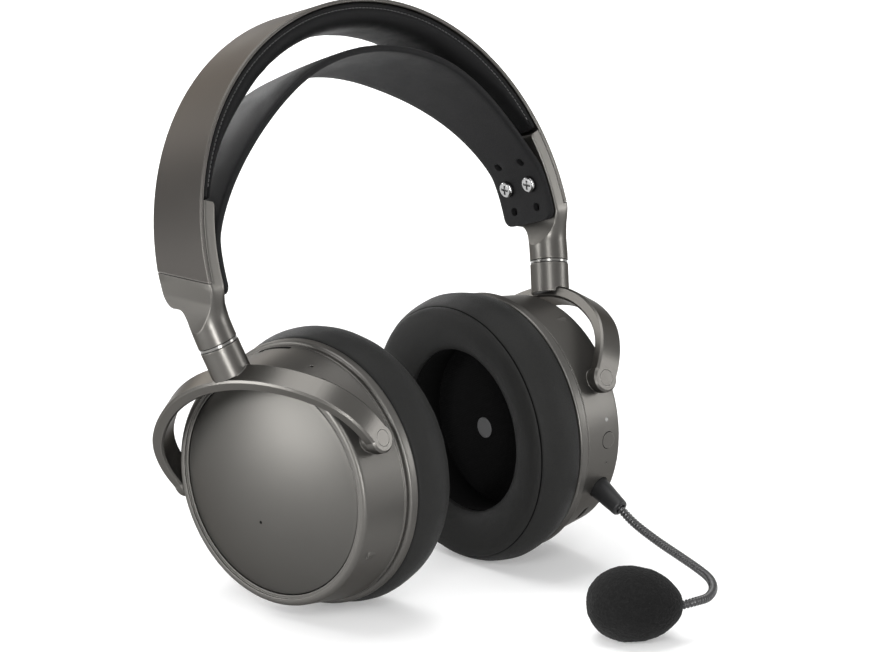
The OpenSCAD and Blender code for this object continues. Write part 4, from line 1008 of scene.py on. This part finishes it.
tag_plastic = moulded("tag_plastic", (0.040, 0.040, 0.041, 1), gloss=0.5)
for side, name in SIDES:
    place = cup_matrix(side)
    rings = []
    for x, r in ((-0.0080, DISC_R), (-0.0084, DISC_R), (-0.00855, DISC_R - DISC_CUT)):
        ring = disc_ring(place, x, DISC_Y, DISC_Z, r, 48)
        rings.append(ring if side < 0 else ring[::-1])
    tag = keep_edges(sweep_mesh("side_disc_" + name, rings), 40)
    put_on(tag, "cup_" + name, "tag_plastic", tag_plastic, "side_tag_" + name)
foil, tree, shader = new_material("driver_foil")
pleat = texture(tree, "Wave", object_space(tree), 300).outputs["Fac"]
feed(
    tree, shader, Metallic=1, Roughness=spread(tree, 0.2, pleat, 0.2),
    Base_Color=mix_colour(tree, pleat, (0.45, 0.45, 0.46, 1), (0.7, 0.7, 0.72, 1)),
)
for side in ("left", "right"):
    finish_node("driver_frame_" + side, dark_plastic)
    finish_node("diaphragm_" + side, foil)
    finish_node("driver_magnets_" + side, ring_steel)

# ---------------------------------------------------------------------------
# Controls of the left cup: lacquered power button, light pipe, charging port,
# audio jack, mute slider and two knurled wheels; board and battery inside.
button_lacquer = lacquered(
    "button_lacquer", SHELL_GREY, metallic=0.85, Fleck=0.1, Gloss=0.34, Wear=0.3, Radius=0.0003,
)
light_pipe = moulded("light_pipe", (0.14, 0.14, 0.135, 1), gloss=0.3)
port_steel = lacquered(
    "port_steel", (0.3, 0.3, 0.3, 1), metallic=1.0, Fleck=0.05, Gloss=0.25, Wear=0.2,
)
board, tree, shader = new_material("circuit_board")
tracks = texture(tree, "Voronoi", object_space(tree), 260, feature="DISTANCE_TO_EDGE")
copper = maths(tree, "LESS_THAN", tracks.outputs["Distance"], 0.06)
feed(
    tree, shader, Roughness=spread(tree, 0.3, copper, 0.15),
    Base_Color=mix_colour(tree, copper, (0.006, 0.05, 0.018, 1), (0.02, 0.13, 0.04, 1)),
)
battery_foil = lacquered("battery_foil", (0.45, 0.45, 0.47, 1), Fleck=0.2, Gloss=0.4, Wear=0.1)
for name, material in (
    ("power_button", button_lacquer), ("status_light", light_pipe), ("usb_port", port_steel),
    ("aux_jack", dark_plastic), ("mute_switch", dark_plastic), ("volume_wheel", dark_plastic),
    ("mix_wheel", dark_plastic), ("boom_socket", dark_plastic), ("main_board", board),
    ("battery", battery_foil),
):
    finish_node(name, material)

# ---------------------------------------------------------------------------
# Boom: a plug in a rubber sleeve, a ribbed gooseneck in a shrunk sleeve, the
# capsule at its end and a foam windscreen pulled over it.
BOOM_X, BOOM_ANGLE = 0.0085, math.radians(135)
BOOM_DIR = Vector((0, -math.sin(BOOM_ANGLE), math.cos(BOOM_ANGLE)))
SOCKET_FACE, SLEEVE_LEN = 0.0472, 0.016
SLEEVE_TIP = Vector((BOOM_X, 0, 0)) + BOOM_DIR * (SOCKET_FACE + SLEEVE_LEN)
FOAM_AXIS = Vector((-0.66, 0.7, 0.26)).normalized()
FOAM_MID = Vector((-0.0414, -0.09824, -0.07587))
FOAM_D, FOAM_LEN, FOAM_RINGS, FOAM_AROUND = 0.029, 0.037, 110, 180
LUMP_FINE, LUMP_BROAD = 0.00022, 0.0003
NECK_D, NECK_RIBS, RIB_STEPS, RIB_DEPTH, NECK_AROUND = 0.0036, 72, 6, 0.00050, 20
NECK_SIDE = Vector((0.8, 0, 0.6))
NECK_PATH = (
    (8.6, -51, -51.4), (8.2, -62.5, -59.6), (6.6, -76, -67), (4.6, -87, -72.6), (1.2, -95.4, -76.2),
    (-5.5, -103.4, -79), (-14.5, -109.6, -80.6), (-23, -112, -80.4),
)  # mm in the cup's frame

gold, tree, shader = new_material("gold_plating")
turned = texture(tree, "Noise", object_space(tree), 1200, Detail=2).outputs["Fac"]
feed(
    tree, shader, Metallic=1, Roughness=spread(tree, 0.12, turned, 0.12),
    Base_Color=mix_colour(tree, turned, (0.70, 0.50, 0.20, 1), (0.85, 0.65, 0.30, 1)),
)
finish_node("boom_plug", gold)
finish_node("boom_capsule", dark_plastic)
sleeve_rubber = moulded(
    "sleeve_rubber", (0.007, 0.007, 0.0074, 1), gloss=0.45, scale=2600, Specular_IOR_Level=0.3,
)
finish_node("boom_sleeve", sleeve_rubber)


def through(points, steps):
    """Smooth curve through the points."""
    made = []
    last = len(points) - 1
    for i in range(last):
        a, b, c, d = (points[min(last, max(0, k))] for k in range(i - 1, i + 3))
        for k in range(steps):
            t = k / steps
            square = (2 * a - 5 * b + 4 * c - d) * t * t
            made.append((2 * b + (c - a) * t + square + (3 * b - a - 3 * c + d) * t ** 3) / 2)
    return made + [points[-1]]


def evenly(points, count):
    lengths = [0.0]
    for a, b in zip(points, points[1:]):
        lengths.append(lengths[-1] + (b - a).length)
    made, j = [], 0
    for i in range(count + 1):
        s = lengths[-1] * i / count
        while j < len(points) - 2 and lengths[j + 1] < s:
            j += 1
        t = (s - lengths[j]) / max(1e-9, lengths[j + 1] - lengths[j])
        made.append(points[j].lerp(points[j + 1], min(1, t)))
    return made


place = cup_matrix(1)
route = [SLEEVE_TIP - BOOM_DIR * 0.003, SLEEVE_TIP]
route += [Vector(p) / 1000 for p in NECK_PATH]
route += [FOAM_MID - FOAM_AXIS * (FOAM_LEN / 2 - inward) for inward in (0.002, 0.008)]
centres = evenly(through(route, 12), NECK_RIBS * RIB_STEPS)
rings = []
for i, centre in enumerate(centres):
    ahead = (centres[min(i + 1, len(centres) - 1)] - centres[max(i - 1, 0)]).normalized()
    u = ahead.cross(NECK_SIDE).normalized()
    v = ahead.cross(u)
    groove = (0.5 + 0.5 * math.cos(2 * math.pi * i / RIB_STEPS)) ** 1.5
    r = NECK_D / 2 - RIB_DEPTH * groove
    rings.append([
        place @ (centre + r * (math.cos(c) * u - math.sin(c) * v)) for c in circle(NECK_AROUND)
    ])
neck = smooth(sweep_mesh("gooseneck_ribs", rings))
neck_rubber = moulded(
    "neck_coating", (0.014, 0.014, 0.0145, 1), gloss=0.24, scale=3000, depth=0.00001,
)
put_on(neck, "boom", "gooseneck", neck_rubber, "boom_gooseneck")

foam, tree, shader = new_material("windscreen_foam")
spot = object_space(tree)
pores = texture(tree, "Voronoi", spot, 1500, feature="F1").outputs["Distance"]
lumps = texture(tree, "Noise", spot, 700, Detail=4).outputs["Fac"]
depth = maths(tree, "MULTIPLY", pores, lumps)
feed(
    tree, shader, Roughness=0.95, Specular_IOR_Level=0.1, Sheen_Weight=0.03, Sheen_Roughness=0.6,
    Base_Color=mix_colour(tree, depth, (0.002, 0.002, 0.002, 1), (0.012, 0.012, 0.012, 1)),
    Normal=bump(tree, depth, 0.00035),
)
aside = FOAM_AXIS.orthogonal().normalized()
third = FOAM_AXIS.cross(aside)
rings = []
for i in range(1, FOAM_RINGS):
    t = math.pi * i / FOAM_RINGS
    r = FOAM_D / 2 * math.sin(t) * (1 - 0.1 * math.cos(t))
    z = -FOAM_LEN / 2 * math.cos(t)
    ring = []
    for c in circle(FOAM_AROUND):
        point = FOAM_AXIS * z + (aside * math.cos(c) + third * math.sin(c)) * r
        lump = LUMP_FINE * noise.noise(point * 1100) + LUMP_BROAD * noise.noise(point * 160)
        ring.append(place @ (FOAM_MID + point * (1 + lump / max(0.004, point.length))))
    rings.append(ring)
windscreen = smooth(sweep_mesh("windscreen", rings))
settle(windscreen)
put_on(windscreen, "boom", "foam", foam, "boom_foam")
